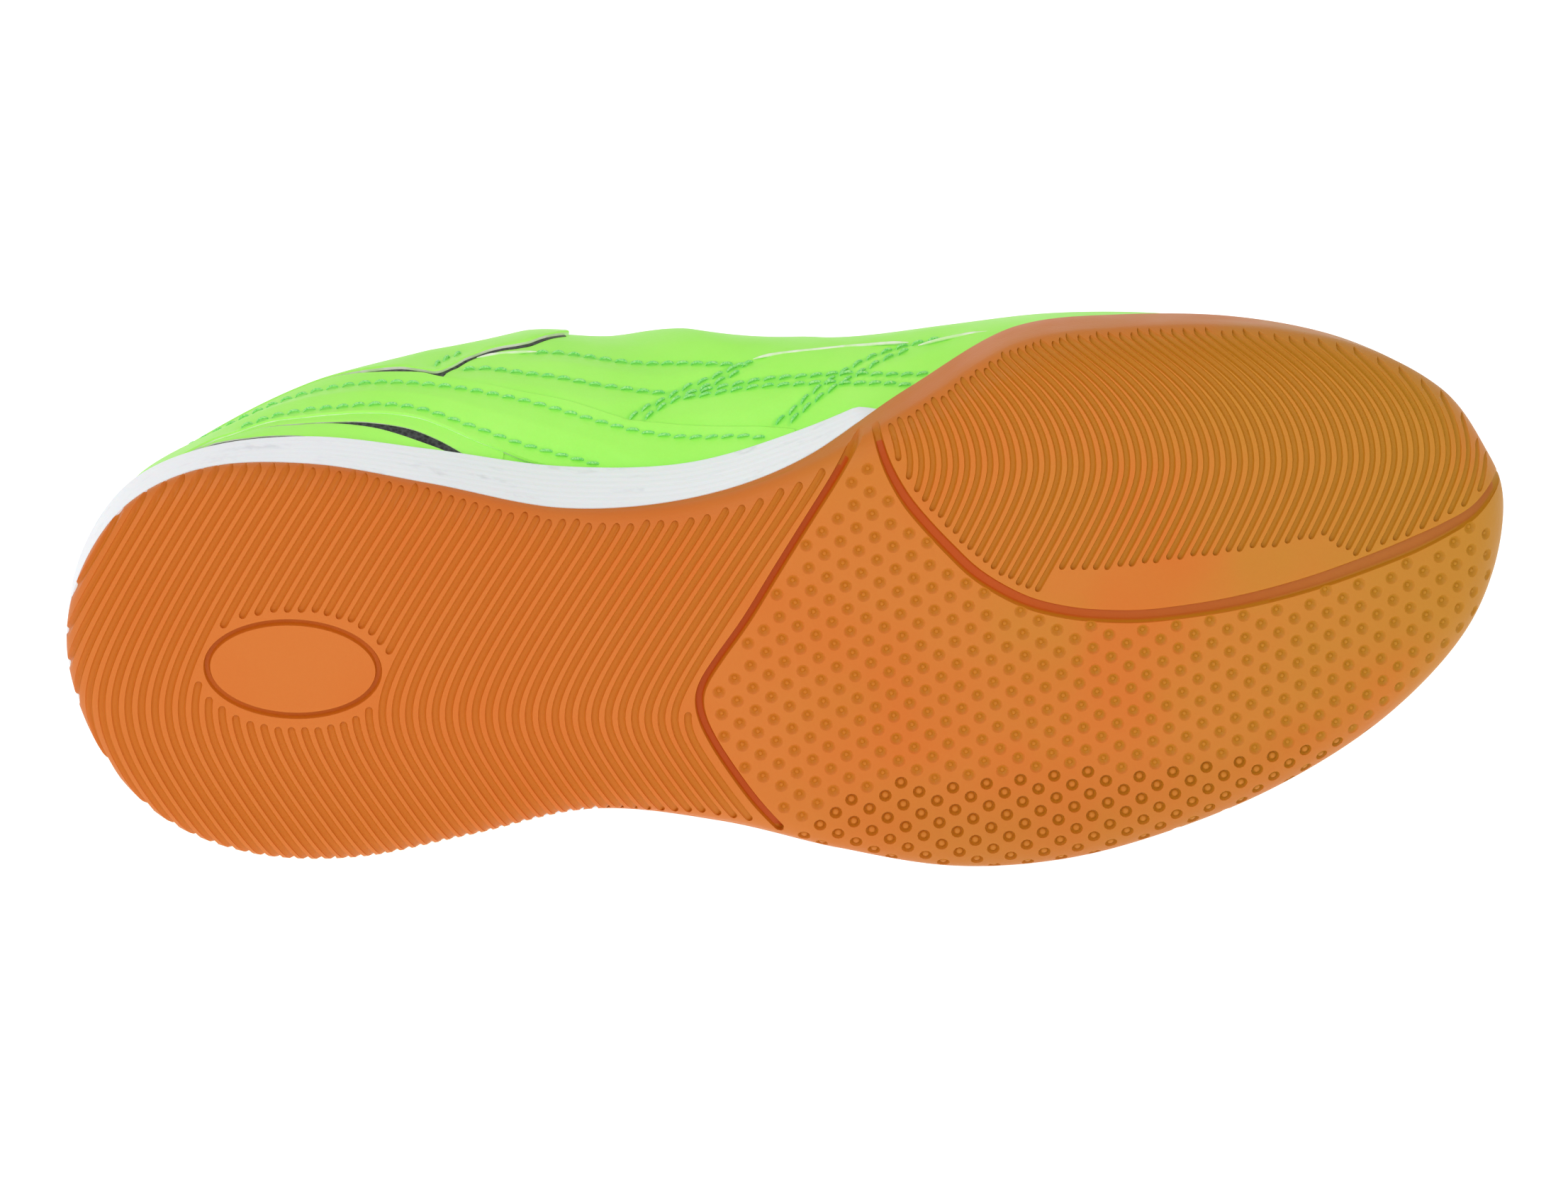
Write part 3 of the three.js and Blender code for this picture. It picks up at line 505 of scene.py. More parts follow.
# Heel and waist ribs: each is the one before it moved forward, bent where the angle channel bends.
rib_steps = np.arange(-62, 62.1, 0.6)
heel_ribs = []
rib_x = 115.4
while rib_x > -36:
    bend = 5 + 0.08 * (120 - rib_x)
    slope = np.where(rib_steps < 0, 0.78, 0.59)
    lean = slope * (np.sqrt(rib_steps**2 + bend**2) - bend)
    heel_ribs.append(np.stack([rib_x + lean, 13.0 + 0.119 * (rib_x - 27) + rib_steps], axis=1))
    rib_x -= 2.5
inner_margin = round_shoe(np.interp(section_x, (0, 0.1, 0.3, 0.42, 0.5, 0.58), (-0.8, -0.8, 0.3, 1.8, 1.8, 0)),
                          np.interp(section_x, (0, 0.36, 0.42, 0.5), (-0.8, -0.8, 1.6, 1.6)))


def heel_rib_goes(points):
    inset, near = edge_inset(points)
    off_oval = (points - oval_middle) @ turn_oval / (oval_half + 2.0)
    clear = beside(angle_channel, points) > 2.1
    return (inset > at(inner_margin, sole_u[near])) & (np.sum(off_oval**2, axis=1) > 1) & clear & (points[:, 0] < 160)


cut_ribs(heel_ribs, heel_rib_goes, 1.5, 0.6)

# Forefoot ribs on the inner side: arcs that lean back at both ends.
toe_ribs = []
rib_x = 151.0
while rib_x < 330:
    lean = np.where(rib_steps < 0, -0.0245 * rib_steps**2, -0.69 * (np.sqrt(rib_steps**2 + 64) - 8))
    toe_ribs.append(np.stack([rib_x + lean, -22.4 + 0.1175 * (rib_x - 179.5) + rib_steps], axis=1))
    rib_x += 2.145
strip_edge = np.array([(186, 3.6), (187, 1.8), (196.2, 2.4), (219.8, 2.2), (228.7, 2.3), (239.2, 1.7), (240.2, 3.2), (243.8, 6.1)])


def toe_rib_goes(points):
    inset, near = edge_inset(points)
    on_strip = (points[:, 0] > 186) & (points[:, 0] < 244.5) & (
        points[:, 1] > np.interp(points[:, 0], strip_edge[:, 0], strip_edge[:, 1]) - 0.7)
    return (inset > 0.2) & (-beside(curve_channel, points) > 2.2) & ~on_strip & (points[:, 0] > 150)


cut_ribs(toe_ribs, toe_rib_goes, 1.25, 0.6)

# Dimples and cups: each a turned pocket with a nub on its floor.
dimple_row, dimple_column = np.array((3.296, 2.234)), np.array((-3.212, 2.325))
lattice = np.array([(184.11, 42.31) + i * dimple_row + j * dimple_column for i in range(-40, 41) for j in range(-40, 41)])
lattice = lattice[(lattice[:, 0] > 118) & (lattice[:, 0] < 277) & (np.abs(lattice[:, 1]) < 66)]
inset, _ = edge_inset(lattice)
in_field = (beside(curve_channel, lattice) > 2.0) & (beside(angle_channel, lattice) < -2.2) & (lattice[:, 0] > 120)
cup_line = np.interp(lattice[:, 0], (135, 145, 155, 164, 184, 200, 240), (47.6, 42.0, 39.6, 41.8, 41.4, 43.0, 42.0))
is_cup = (lattice[:, 1] > cup_line) & (lattice[:, 0] < 246)
dimple_outline = ((1.4, -0.8), (1.32, 0.0), (1.05, 0.24), (0.8, 0.5), (0.5, 0.66), (0.3, 0.46), (0.15, 0.42))
cup_outline = ((1.3, -1.0), (1.25, 0.0), (1.15, 0.5), (0.95, 0.75), (0.78, 0.72), (0.62, 0.4), (0.3, 0.22))


def cut_pockets(middles, outline, sides):
    lean_x = (underside(middles + (0.3, 0)) - underside(middles - (0.3, 0))) / 0.6
    lean_y = (underside(middles + (0, 0.3)) - underside(middles - (0, 0.3))) / 0.6
    angles = np.linspace(0, 2 * math.pi, sides, endpoint=False)
    flat = np.array([(r * math.cos(a), r * math.sin(a), h) for r, h in outline for a in angles])
    faces = loops_to_faces(len(outline), sides)
    faces += [list(range(sides)), [(len(outline) - 1) * sides + k for k in reversed(range(sides))]]
    for middle, height, slope_x, slope_y in zip(middles, underside(middles), lean_x, lean_y):
        inward = Vector((-slope_x, -slope_y, 1)).normalized()
        turn = np.array(Vector((0, 0, 1)).rotation_difference(inward).to_matrix())
        add_cutter(flat @ turn.T + (middle[0], middle[1], height), faces)


cut_pockets(lattice[in_field & ~is_cup & (inset > 1.4)], dimple_outline, 12)
cut_pockets(lattice[in_field & is_cup & (inset > 0.3)], cup_outline, 12)
cut_sole("tread")
round_over(outsole, 35)


# How deep each point of the moulding lies under the tread's face, so that the floors take a darker colour: painted
# shade in the grooves.
moulded = np.empty(len(outsole.data.vertices) * 3)
outsole.data.vertices.foreach_get("co", moulded)
moulded = (moulded.reshape(-1, 3) * 1000 - heel_flat) @ lay + standing_heel_flat
inset, near = edge_inset(moulded[:, :2])
wall = moulded[:, 2] - ground(moulded[:, 0]) > lift[near] + 0.9
depth = np.where(wall, 0, np.clip(moulded[:, 2] - underside(moulded[:, :2]), 0, np.where(inset < 2, 0.55, 2)))
outsole.data.attributes.new("depth", "FLOAT", "POINT").data.foreach_set("value", depth)


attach(outsole, "root")
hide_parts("outsole")


# Midsole: a cup of white moulded foam glued onto the gum. Its side wall is left bare from the heel to the ball,
# with fine moulded lines along it, and it runs on inside the gum round the forefoot.
def wall_lines(below_top):
    """Relief of the moulded lines at a distance below the top of the wall."""
    return 0.03 * np.sin(below_top * 2 * math.pi / 2.3) + 0.03 * np.sin(below_top * 2 * math.pi / 0.95)


covered = top_height(sole_u) - gum_top
rim = top_height(sole_u) - 1.5 * (1 - smooth(1.2, 2.9, covered))
hidden = 1 - smooth(5, 8, covered)
ledge = np.minimum(gum_top + 0.12 + (cup_gap - 0.12) * hidden, rim - 0.6)
flare = at(flares, sole_u)
base = slab_top + clearance
ledge_out = side_out(sole_u, ledge) * (1 - hidden) - (gum_inside(sole_u, ledge) + cup_gap) * hidden
rim_out = flare * (1 - hidden) - (gum_wall - flare + cup_gap) * hidden
loops = [
    beside_sole(sole_u, -2.2 * roll, base),
    beside_sole(sole_u, -gum_inside(sole_u, gum_slab) - cup_gap, base),
    beside_sole(sole_u, -gum_inside(sole_u, ledge) - cup_gap, ledge),
]
for share in np.linspace(0, 1, 44):
    height = ledge + 0.02 + (rim - 0.7 - ledge - 0.02) * share
    lines = wall_lines(rim - height) * (1 - hidden) * min(1, 6 * share, 6 * (1 - share))
    loops.append(beside_sole(sole_u, ledge_out + (rim_out - ledge_out) * share + lines - 0.05, height))
for arc in np.radians((30, 60, 90)):
    loops.append(beside_sole(sole_u, rim_out - 0.7 * (1 - math.cos(arc)), rim - 0.7 * (1 - math.sin(arc))))
loops.append(beside_sole(sole_u, flare - side_wall, rim))
seat_depth = 9.0
loops.append(beside_sole(sole_u, flare - side_wall, top_height(sole_u) - seat_depth))
loops.append(beside_sole(sole_u, flare - 3 * side_wall, top_height(sole_u) - seat_depth))
foam = Look("white foam", Subsurface_Weight=0.12, Subsurface_Scale=0.003, Specular_IOR_Level=0.35)
scuffs = foam.noise(14, 4.0, (1.0, 4.0, 4.0)).between(0.55, 0.7) * foam.blotch(2.2, 0.4, 0.6)
white = foam.mix(srgb(247, 249, 252), srgb(214, 214, 220), scuffs * 0.45 + foam.blotch(30, 0.4, 0.7) * 0.12)
midsole = cup("midsole_foam", loops, foam.finish(white, 0.5 + foam.noise(5) * 0.2, foam.noise(1.1, 3.0), 0.06), angle=50)
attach(midsole, "root")
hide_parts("midsole")

# Insole: a footbed of foam with a black knitted top, that lies loose inside the upper.
upper_wall = 2.2
bed_edge, bed_base = flare - side_wall - upper_wall - 2 * clearance, top_height(sole_u) - seat_depth + clearance
loops = [beside_sole(sole_u, bed_edge - 2 * side_wall, bed_base), beside_sole(sole_u, bed_edge, bed_base)]
loops += [beside_sole(sole_u, bed_edge - 1.2 * (1 - math.cos(arc)), bed_base + 2.8 + 1.2 * math.sin(arc))
          for arc in np.radians((0, 30, 60, 90))]
loops.append(beside_sole(sole_u, bed_edge - 2 * side_wall, bed_base + 3.7))
knit = Look("black knit", Sheen_Weight=0.25, Specular_IOR_Level=0.25)
loop_x, loop_y, loop_z = (knit.node("SeparateXYZ", {}, {0: knit.place}, axis) for axis in "XYZ")
weave = ((loop_x * 5200).wave() * ((loop_y + loop_z) * 5200).wave()).between(-0.6, 0.8)
knit_colour = knit.mix(srgb(22, 22, 24), srgb(52, 52, 55), weave * 0.7 + knit.noise(6) * 0.2)
black_knit = knit.finish(knit_colour, 0.75 + knit.noise(8) * 0.15, weave, 0.15)
insole = cup("insole_footbed", loops, black_knit)
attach(insole, "root")
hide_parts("insole")

# Upper: one wall of soft green synthetic leather on a black lining, drawn over the last and cemented into the
# cup. Stitched seams pull it in, and six pairs of eyelets are punched beside the throat.
# At some sections: how far the wall swells out and up at its foot, and out and up at its open edge.
swell_at = np.array((0, 3, 6, 8, 10, 13, 16))
inner_swell = np.array([
    (0.015, 0.256, -0.01, -0.233), (0.022, 0.187, 0.048, -0.19), (0.243, 0.179, 0.226, -0.145),
    (0.215, 0.219, 0.316, -0.069), (0.048, 0.173, 0.226, -0.065), (0.03, 0.2, 0.33, -0.08), (0.03, 0.2, 0.47, -0.1),
])
outer_swell = np.array([
    (0.015, 0.256, -0.01, -0.233), (0.045, 0.2, 0.075, -0.2), (0.06, 0.21, 0.16, -0.16), (0.035, 0.21, 0.215, -0.09),
    (0.02, 0.18, 0.26, -0.08), (0.02, 0.2, 0.36, -0.08), (0.03, 0.2, 0.47, -0.1),
])
every_section = np.arange(toe_section + 1)
low_out, low_up, high_out, high_up = (
    round_shoe(*(np.interp(every_section, swell_at, side[:, column]) for side in (inner_swell, outer_swell))) * size
    for column, size in enumerate((ball_width, collar_height, ball_width, collar_height)))
open_line = np.stack([
    round_shoe(open_x, open_x) * sole_length,
    round_shoe(open_mid - open_half, open_mid + open_half) * ball_width,
    round_shoe(open_top, open_top) * collar_height,
], axis=1)


def upper_face(u, v):
    """The upper's outer face at u round the shoe and v from the cup, 0, to the open edge, 1."""
    u, v = np.broadcast_arrays(np.asarray(u, float), np.asarray(v, float))
    start = beside_sole(u, at(flares, u) - side_wall - clearance, top_height(u))
    end = np.stack([at(open_line[:, axis], u) for axis in range(3)], axis=-1)
    out = np.concatenate([outward(u), np.zeros(u.shape + (1,))], axis=-1)
    rise = np.array((0, 0, 1.0))
    low = start + out * at(low_out, u)[..., None] + rise * at(low_up, u)[..., None]
    high = end + out * at(high_out, u)[..., None] + rise * at(high_up, u)[..., None]
    v = v[..., None]
    return start * (1 - v) ** 3 + low * 3 * v * (1 - v) ** 2 + high * 3 * v**2 * (1 - v) + end * v**3


def upper_skin(u, v, out):
    """The same face moved out along its normal."""
    u, v = np.broadcast_arrays(np.asarray(u, float), np.asarray(v, float))
    along_u = upper_face(u + 0.02, v) - upper_face(u - 0.02, v)
    along_v = upper_face(u, np.minimum(v + 0.02, 1)) - upper_face(u, np.maximum(v - 0.02, 0))
    normal = np.cross(along_u, along_v)
    normal /= np.linalg.norm(normal, axis=-1, keepdims=True)
    return upper_face(u, v) + normal * np.broadcast_to(out, u.shape)[..., None]


def upper_rise(u):
    """Length of the upper from the cup to the open edge."""
    steps = np.stack([upper_face(u, share) for share in np.linspace(0, 1, 13)])
    return np.sum(np.linalg.norm(np.diff(steps, axis=0), axis=-1), axis=0)


def below_edge(u, distance):
    return 1 - distance / upper_rise(u)


def line(*places):
    """Height v of a line on the upper at u, the same on both sides."""
    smoothed = smooth_path(places, 0.02)
    return lambda u: np.interp(np.abs(u), smoothed[:, 0], smoothed[:, 1])


# Lines of the overlays: the heel counter, the ankle panel above it, and the window in the wall below it.
counter_low = line((0, 0.04), (1.6, 0.06), (2.4, 0.16), (2.9, 0.25), (3.32, 0.264), (3.6, 0.25), (3.88, 0.214), (4.14, 0.204),
                   (4.42, 0.2), (4.64, 0.192), (4.88, 0.172), (5.1, 0.136), (5.32, 0.1), (5.54, 0.076), (5.82, 0.05), (6.5, 0.015), (8, 0))
counter_high = line((0, 0.585), (2.4, 0.562), (3.4, 0.54), (4.02, 0.524), (4.22, 0.51), (4.46, 0.47), (4.7, 0.43), (4.9, 0.396),
                    (5.08, 0.352), (5.62, 0.268), (6.12, 0.22), (6.58, 0.174), (6.9, 0.156), (7.22, 0.134), (7.7, 0.094), (8, 0.06))
ankle_low = line((0, 0.6), (2.4, 0.584), (3.4, 0.575), (4.02, 0.569), (4.22, 0.557), (4.46, 0.518), (4.7, 0.474), (4.9, 0.428),
                 (5.0, 0.4), (5.08, 0.41), (5.18, 0.448), (5.32, 0.486), (5.54, 0.5), (5.76, 0.503), (6.02, 0.51), (6.46, 0.566))
window_top = line((2.7, 0.262), (3.0, 0.256), (3.4, 0.24), (3.64, 0.206), (3.88, 0.178), (4.12, 0.165), (4.36, 0.16), (4.58, 0.149),
                  (4.82, 0.13), (5.02, 0.1), (5.2, 0.068), (5.6, 0.0))
strip_top = line((2.7, 0.255), (3.0, 0.249), (3.4, 0.232), (3.64, 0.197), (3.88, 0.168), (4.14, 0.155), (4.36, 0.14), (4.56, 0.124),
                 (4.74, 0.104), (4.94, 0.08), (5.2, 0.05), (5.6, 0.0))
strip_low = line((2.7, 0.252), (3.0, 0.24), (3.14, 0.212), (3.38, 0.162), (3.66, 0.126), (3.9, 0.102), (4.14, 0.08), (5.2, 0.02), (5.6, 0.0))

# Rows of stitches: how high the leather is that they hold, and their places on the inner side.
stitch_rows = [
    (1.0, ((0, 0.555), (2.4, 0.52), (3.4, 0.47), (4.06, 0.412), (4.5, 0.38), (5.02, 0.312), (5.44, 0.256), (5.94, 0.2),
           (6.42, 0.156), (6.86, 0.124), (7.5, 0.084), (7.76, 0.056))),
    (1.0, ((3.3, 0.3), (3.62, 0.285), (3.86, 0.262), (4.18, 0.242), (4.42, 0.242), (4.68, 0.23), (4.94, 0.2), (5.2, 0.156),
           (5.44, 0.124), (5.66, 0.1), (5.82, 0.088), (6.3, 0.055))),
    (0.9, ((4.99, 0.44), (5.05, 0.472), (5.14, 0.508), (5.22, 0.522))),
    (0.0, ((5.9, 0.448), (6.3, 0.425), (6.84, 0.388), (7.32, 0.352), (7.68, 0.312), (7.98, 0.276))),
    (0.0, ((5.2, 0.42), (5.4, 0.404), (5.58, 0.372), (5.84, 0.336), (6.36, 0.292), (6.68, 0.276), (7.14, 0.246))),
    (0.0, ((6.62, 0.176), (6.8, 0.208), (7.08, 0.236), (7.28, 0.254), (7.6, 0.262), (7.9, 0.276), (8.1, 0.284))),
    (0.0, ((6.76, 0.176), (6.9, 0.2), (7.08, 0.221), (7.36, 0.236), (7.62, 0.244), (7.88, 0.257))),
    (0.0, ((7.24, 0.238), (7.52, 0.229), (7.84, 0.22), (8.2, 0.212), (8.54, 0.196), (8.7, 0.184), (8.92, 0.144), (9.2, 0.088))),
    (0.0, ((7.2, 0.227), (7.52, 0.214), (7.82, 0.203), (8.14, 0.188), (8.48, 0.168), (8.62, 0.148), (8.86, 0.112), (9.06, 0.064))),
    (0.0, ((7.86, 0.088), (8.06, 0.108), (8.32, 0.144), (8.54, 0.172), (8.72, 0.196), (9.0, 0.232), (9.32, 0.252), (9.62, 0.24))),
    (0.0, ((7.98, 0.08), (8.22, 0.11), (8.42, 0.134), (8.66, 0.16), (8.84, 0.18), (9.06, 0.207), (9.28, 0.22))),
]


def along_upper(places, pitch):
    """Places at an even pitch along a line on the upper."""
    fine = smooth_path(places, 0.02)
    spots = upper_skin(fine[:, 0], fine[:, 1], 0)
    run = np.concatenate([[0], np.cumsum(np.linalg.norm(np.diff(spots, axis=0), axis=1))])
    even = np.arange(pitch / 2, run[-1], pitch)
    return np.interp(even, run, fine[:, 0]), np.interp(even, run, fine[:, 1])


seam_spots = []
for _, places in stitch_rows:
    seam_u, seam_v = along_upper(places, 0.7)
    seam_spots += [upper_skin(seam_u, seam_v, 0), upper_skin(-seam_u, seam_v, 0)]
seam_spots = np.concatenate(seam_spots)
seam_tree = kdtree.KDTree(len(seam_spots))
for i, spot in enumerate(seam_spots):
    seam_tree.insert(spot, i)
seam_tree.balance()


def from_seam(points):
    """Distance of each point to the nearest row of stitches."""
    return np.array([seam_tree.find(point)[2] for point in points.reshape(-1, 3)]).reshape(points.shape[:-1])


def sewn_skin(u, v, out):
    """The upper's skin, pulled in along its stitches and full between them."""
    u, v = np.broadcast_arrays(np.asarray(u, float), np.asarray(v, float))
    distance = from_seam(upper_skin(u, v, 0))
    full = 0.55 * smooth(0.8, 7, distance) * smooth(0.02, 0.08, v) * (1 - smooth(0.55, 0.8, v))
    return upper_skin(u, v, out - 0.35 * np.exp(-(distance / 1.1) ** 2) + full)


def mark_seams(thing):
    """Stores how close each point of a piece is to a row of stitches, for the deeper green along them: partly the
    colour of the needle holes, partly painted shade in the dent the stitches pull.
    """
    spots = np.empty(len(thing.data.vertices) * 3)
    thing.data.vertices.foreach_get("co", spots)
    distance = from_seam((spots.reshape(-1, 3) * 1000 - heel_flat) @ lay + standing_heel_flat)
    thing.data.attributes.new("seam", "FLOAT", "POINT").data.foreach_set("value", np.exp(-(distance / 0.9) ** 2))


green = Look("green synthetic", Specular_IOR_Level=0.42, Subsurface_Weight=0.06, Subsurface_Scale=0.002)
grain = green.node("TexVoronoi", {"feature": "F1"}, {"Vector": green.place, "Scale": 1500.0})
tone = green.blotch(24, 0.35, 0.7) * 0.5 + green.noise(2.5, 3.0) * 0.25
green_colour = green.mix(srgb(178, 255, 108), srgb(160, 250, 84), tone)
# Deeper green near the stitches: partly the needle holes' colour, partly painted shade in the stitch dents.
green_colour = green.mix(green_colour, srgb(74, 214, 66), green.attribute("seam").between(0.3, 1.0) * 0.5)
green_leather = green.finish(green_colour, 0.42 + green.noise(12) * 0.16, grain + green.noise(0.5) * 0.5, 0.035)
upper_u = np.arange(0, around, around / 790)
rows_up = np.concatenate([np.linspace(0, 0.975, 90), (0.985, 0.994)])
loops = [upper_skin(upper_u, 0, 0) - (0, 0, seat_depth - clearance)]
loops += [sewn_skin(upper_u, v, 0) for v in rows_up]
loops += [upper_skin(upper_u, v, out) for v, out in ((0.999, -0.25), (1.0, -0.8), (1.0, -1.5), (0.998, -2.0))]
inside_from = len(loops) - 2
loops += [upper_skin(upper_u, v, -upper_wall) for v in np.linspace(0.99, 0, 26)]
loops.append(upper_skin(upper_u, 0, -upper_wall) - (0, 0, seat_depth - clearance))
faces = loops_to_faces(len(loops), len(upper_u), closed=True)
lining = range(inside_from * len(upper_u), len(faces) - 2 * len(upper_u))
upper = piece("upper_shell", np.concatenate(loops), faces, green_leather, black_knit, angle=60, second=lining)
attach(upper, "root")
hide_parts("upper")


# Overlays: a lace panel round the throat, and a counter band round the heel that falls to the wall at the arch.
# Both are cut from the same leather on a white backing that shows at their edges, and are stitched to the upper; the
# pale edge colour is partly that backing and partly a painted highlight along the raised edges.
def overlay(name, u_steps, low, high, thick, materials, rows=24):
    """A panel on the upper between two lines, with eased edges."""
    shares = np.linspace(0, 1, rows)
    lows, highs, span = low(u_steps), high(u_steps), np.linalg.norm(upper_face(u_steps, high(u_steps)) - upper_face(u_steps, low(u_steps)), axis=1)
    ease = np.clip(0.35 / np.maximum(span, 0.8), 0, 0.3)
    levels, drops = [lows], [0.3]
    for share in shares:
        levels.append(lows + (highs - lows) * (ease + (1 - 2 * ease) * share))
        drops.append(0)
    levels, drops = np.array(levels + [highs]), np.array(drops + [0.3])
    top = sewn_skin(u_steps[None], levels, thick - drops[:, None] * thick)
    under = upper_skin(u_steps[None], levels, -0.3)
    count, columns = len(levels), len(u_steps)
    points = np.concatenate([top.reshape(-1, 3), under.reshape(-1, 3)])
    grid = np.arange(count * columns).reshape(count, columns)
    body = np.stack([grid[:-1, :-1], grid[:-1, 1:], grid[1:, 1:], grid[1:, :-1]], axis=-1).reshape(-1, 4)
    rim = np.concatenate([grid[0, :-1], grid[:-1, -1], grid[-1, :0:-1], grid[:0:-1, 0]])
    following = np.roll(rim, -1)
    walls = np.stack([rim, following, following + count * columns, rim + count * columns], axis=-1)
    faces = np.concatenate([body, body[:, ::-1] + count * columns, walls]).tolist()
    edges = range(2 * len(body), len(faces))
    return piece(name, points, faces, *materials, angle=40, second=edges if len(materials) > 1 else ())


eyestay_width, overlay_thick, eyelet_inset, eyelet_radius = 17.0, 1.0, 8.5, 2.3
# Pale edge colour: partly the white backing, partly a painted highlight where the raised edges catch the light.
backing_and_highlight = Look("cut edge and highlight", Specular_IOR_Level=0.3)
edge_and_highlight_colour = backing_and_highlight.mix(srgb(214, 246, 184), srgb(240, 246, 226), backing_and_highlight.blotch(3, 0.4, 0.6))
edge_backing_and_highlight = backing_and_highlight.finish(edge_and_highlight_colour, 0.6 + backing_and_highlight.noise(2) * 0.2)
leather = Look("black grained leather", Specular_IOR_Level=0.5)
pebbles = leather.node("TexVoronoi", {"feature": "F1"}, {"Vector": leather.place, "Scale": 1300.0})
leather_colour = leather.mix(srgb(20, 22, 22), srgb(66, 70, 68), pebbles.between(0.25, 0.75))
black_leather = leather.finish(leather_colour, 0.4 + leather.noise(3) * 0.2, 1.0 - pebbles, 0.12)

eyestay = overlay("lace_panel", np.linspace(5.5, around - 5.5, 340), lambda u: below_edge(u, eyestay_width),
                  lambda u: np.ones_like(u), overlay_thick, [green_leather, edge_backing_and_highlight])
counter = overlay("counter_band", np.linspace(-8, 8, 420), counter_low, counter_high, overlay_thick, [green_leather, edge_backing_and_highlight], 30)
ankle = overlay("ankle_panel", np.linspace(-6.46, 6.46, 360), ankle_low,
                lambda u: 0.985 - (0.985 - below_edge(u, 16.2)) * smooth(5.2, 5.9, np.abs(u)), 0.9, [green_leather, edge_backing_and_highlight], 30)
inlay = overlay("quarter_window", np.linspace(2.75, 5.5, 120), lambda u: 0 * u, lambda u: window_top(u) + 0.012, 0.12, [black_leather], 12)
strip = overlay("window_strip", np.linspace(2.75, 5.5, 120), strip_low, lambda u: strip_top(u) + 0.002, 0.5, [green_leather, edge_backing_and_highlight], 8)
frame_strip = overlay("window_frame", np.linspace(2.75, 5.55, 120), window_top, lambda u: counter_low(u) + 0.02, 0.5,
                      [green_leather, edge_backing_and_highlight], 8)
# Black strips in the gap between counter and ankle panel and along the panel's lower edge: partly the black underlay,
# partly a painted shadow under the flap edge.
slot_and_shadow_low = lambda u: np.maximum(counter_high(u) - 0.01, ankle_low(u) - 0.214 + 0.2 * smooth(4.9, 5.1, np.abs(u)))
slot_and_shadow_strips = [overlay("slot", side * np.linspace(2.9, 6.4, 110), slot_and_shadow_low,
                 lambda u: ankle_low(u) + 0.01, 0.14, [black_leather], 4) for side in (1, -1)]
for thing, node_name, slot in ((eyestay, "eyestay", "green_synthetic"), (counter, "heel_counter", "green_synthetic"),
                               (inlay, "quarter_inlay", "black_grain")):
    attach(thing, "root")
    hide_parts(node_name)
for thing in (ankle, strip, frame_strip):
    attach(thing, "root")
for thing in slot_and_shadow_strips:
    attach(thing, "root")

eyelet_u = np.linspace(6.25, 12.4, 6)
eyelet_u = np.concatenate([eyelet_u, around - eyelet_u])
for u in eyelet_u:
    start, stop = (upper_skin(u, below_edge(u, eyelet_inset), out) for out in (-5, 5))
    turn = np.array(Vector((0, 0, 1)).rotation_difference(Vector(stop - start)).to_matrix())
    circle = [(eyelet_radius * math.cos(a), eyelet_radius * math.sin(a)) for a in np.linspace(0, 2 * math.pi, 24, endpoint=False)]
    flat = np.array([(x, y, z) for z in (-5, 5) for x, y in circle])
    add_cutter(flat @ turn.T + (start + stop) / 2, loops_to_faces(2, 24) + [list(range(24)), list(range(47, 23, -1))])
punch = piece("punch", np.concatenate(cutter_points), cutter_faces)
for thing in (upper, eyestay):
    cut = thing.modifiers.new("punch", "BOOLEAN")
    cut.operation, cut.solver, cut.object = "DIFFERENCE", "MANIFOLD", punch
    bpy.ops.object.select_all(action="DESELECT")
    bpy.context.view_layer.objects.active = thing
    bpy.ops.object.modifier_apply(modifier="punch")
bpy.data.objects.remove(punch)
for thing in (upper, eyestay, counter, ankle, frame_strip):
    mark_seams(thing)


# Stitching: mint thread, a stitch every 3.1 mm, each sunk at both ends where it goes through the leather.
def stitches(rows):
    points, faces = [], []
    ring = [(math.cos(a), math.sin(a)) for a in np.linspace(0, 2 * math.pi, 7, endpoint=False)]
    for height, places in rows:
        for side in (1, -1):
            u, v = along_upper(places, 3.1)
            u = u * side
            centre = upper_skin(u, v, height)
            up = upper_skin(u, v, height + 1) - centre
            ahead = np.gradient(centre, axis=0)
            ahead /= np.linalg.norm(ahead, axis=1, keepdims=True)
            across = np.cross(up, ahead)
            ahead = ahead + across * 0.22 * side
            for p, n, t, b in zip(centre, up, ahead, across):
                start = sum(len(block) for block in points)
                block = []
                for share in (-1, -0.75, -0.3, 0.3, 0.75, 1):
                    middle = p + t * (1.28 * share) + n * (0.22 - 0.75 * share**4)
                    size = 0.31 - 0.12 * share**2
                    block += [middle + b * (x * size) + n * (y * size * 0.85) for x, y in ring]
                points.append(np.array(block))
                faces += [[start + corner for corner in face] for face in loops_to_faces(6, 7)]
                faces += [[start + k for k in range(7)], [start + 41 - k for k in range(7)]]
    return np.concatenate(points), faces


thread = Look("mint thread", Specular_IOR_Level=0.3, Sheen_Weight=0.2)
strands = thread.noise(0.35, 2.0).between(0.35, 0.65)
mint = thread.finish(thread.mix(srgb(112, 226, 110), srgb(180, 252, 150), strands), 0.55 + thread.noise(1) * 0.2, strands, 0.08)
throat_rows = [(overlay_thick, [(u, float(below_edge(u, distance))) for u in np.linspace(5.8, 15.9, 24)]) for distance in (2.4, 15.0)]
stitching = piece("stitching", *stitches(stitch_rows + throat_rows), mint, angle=60)
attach(stitching, "root")
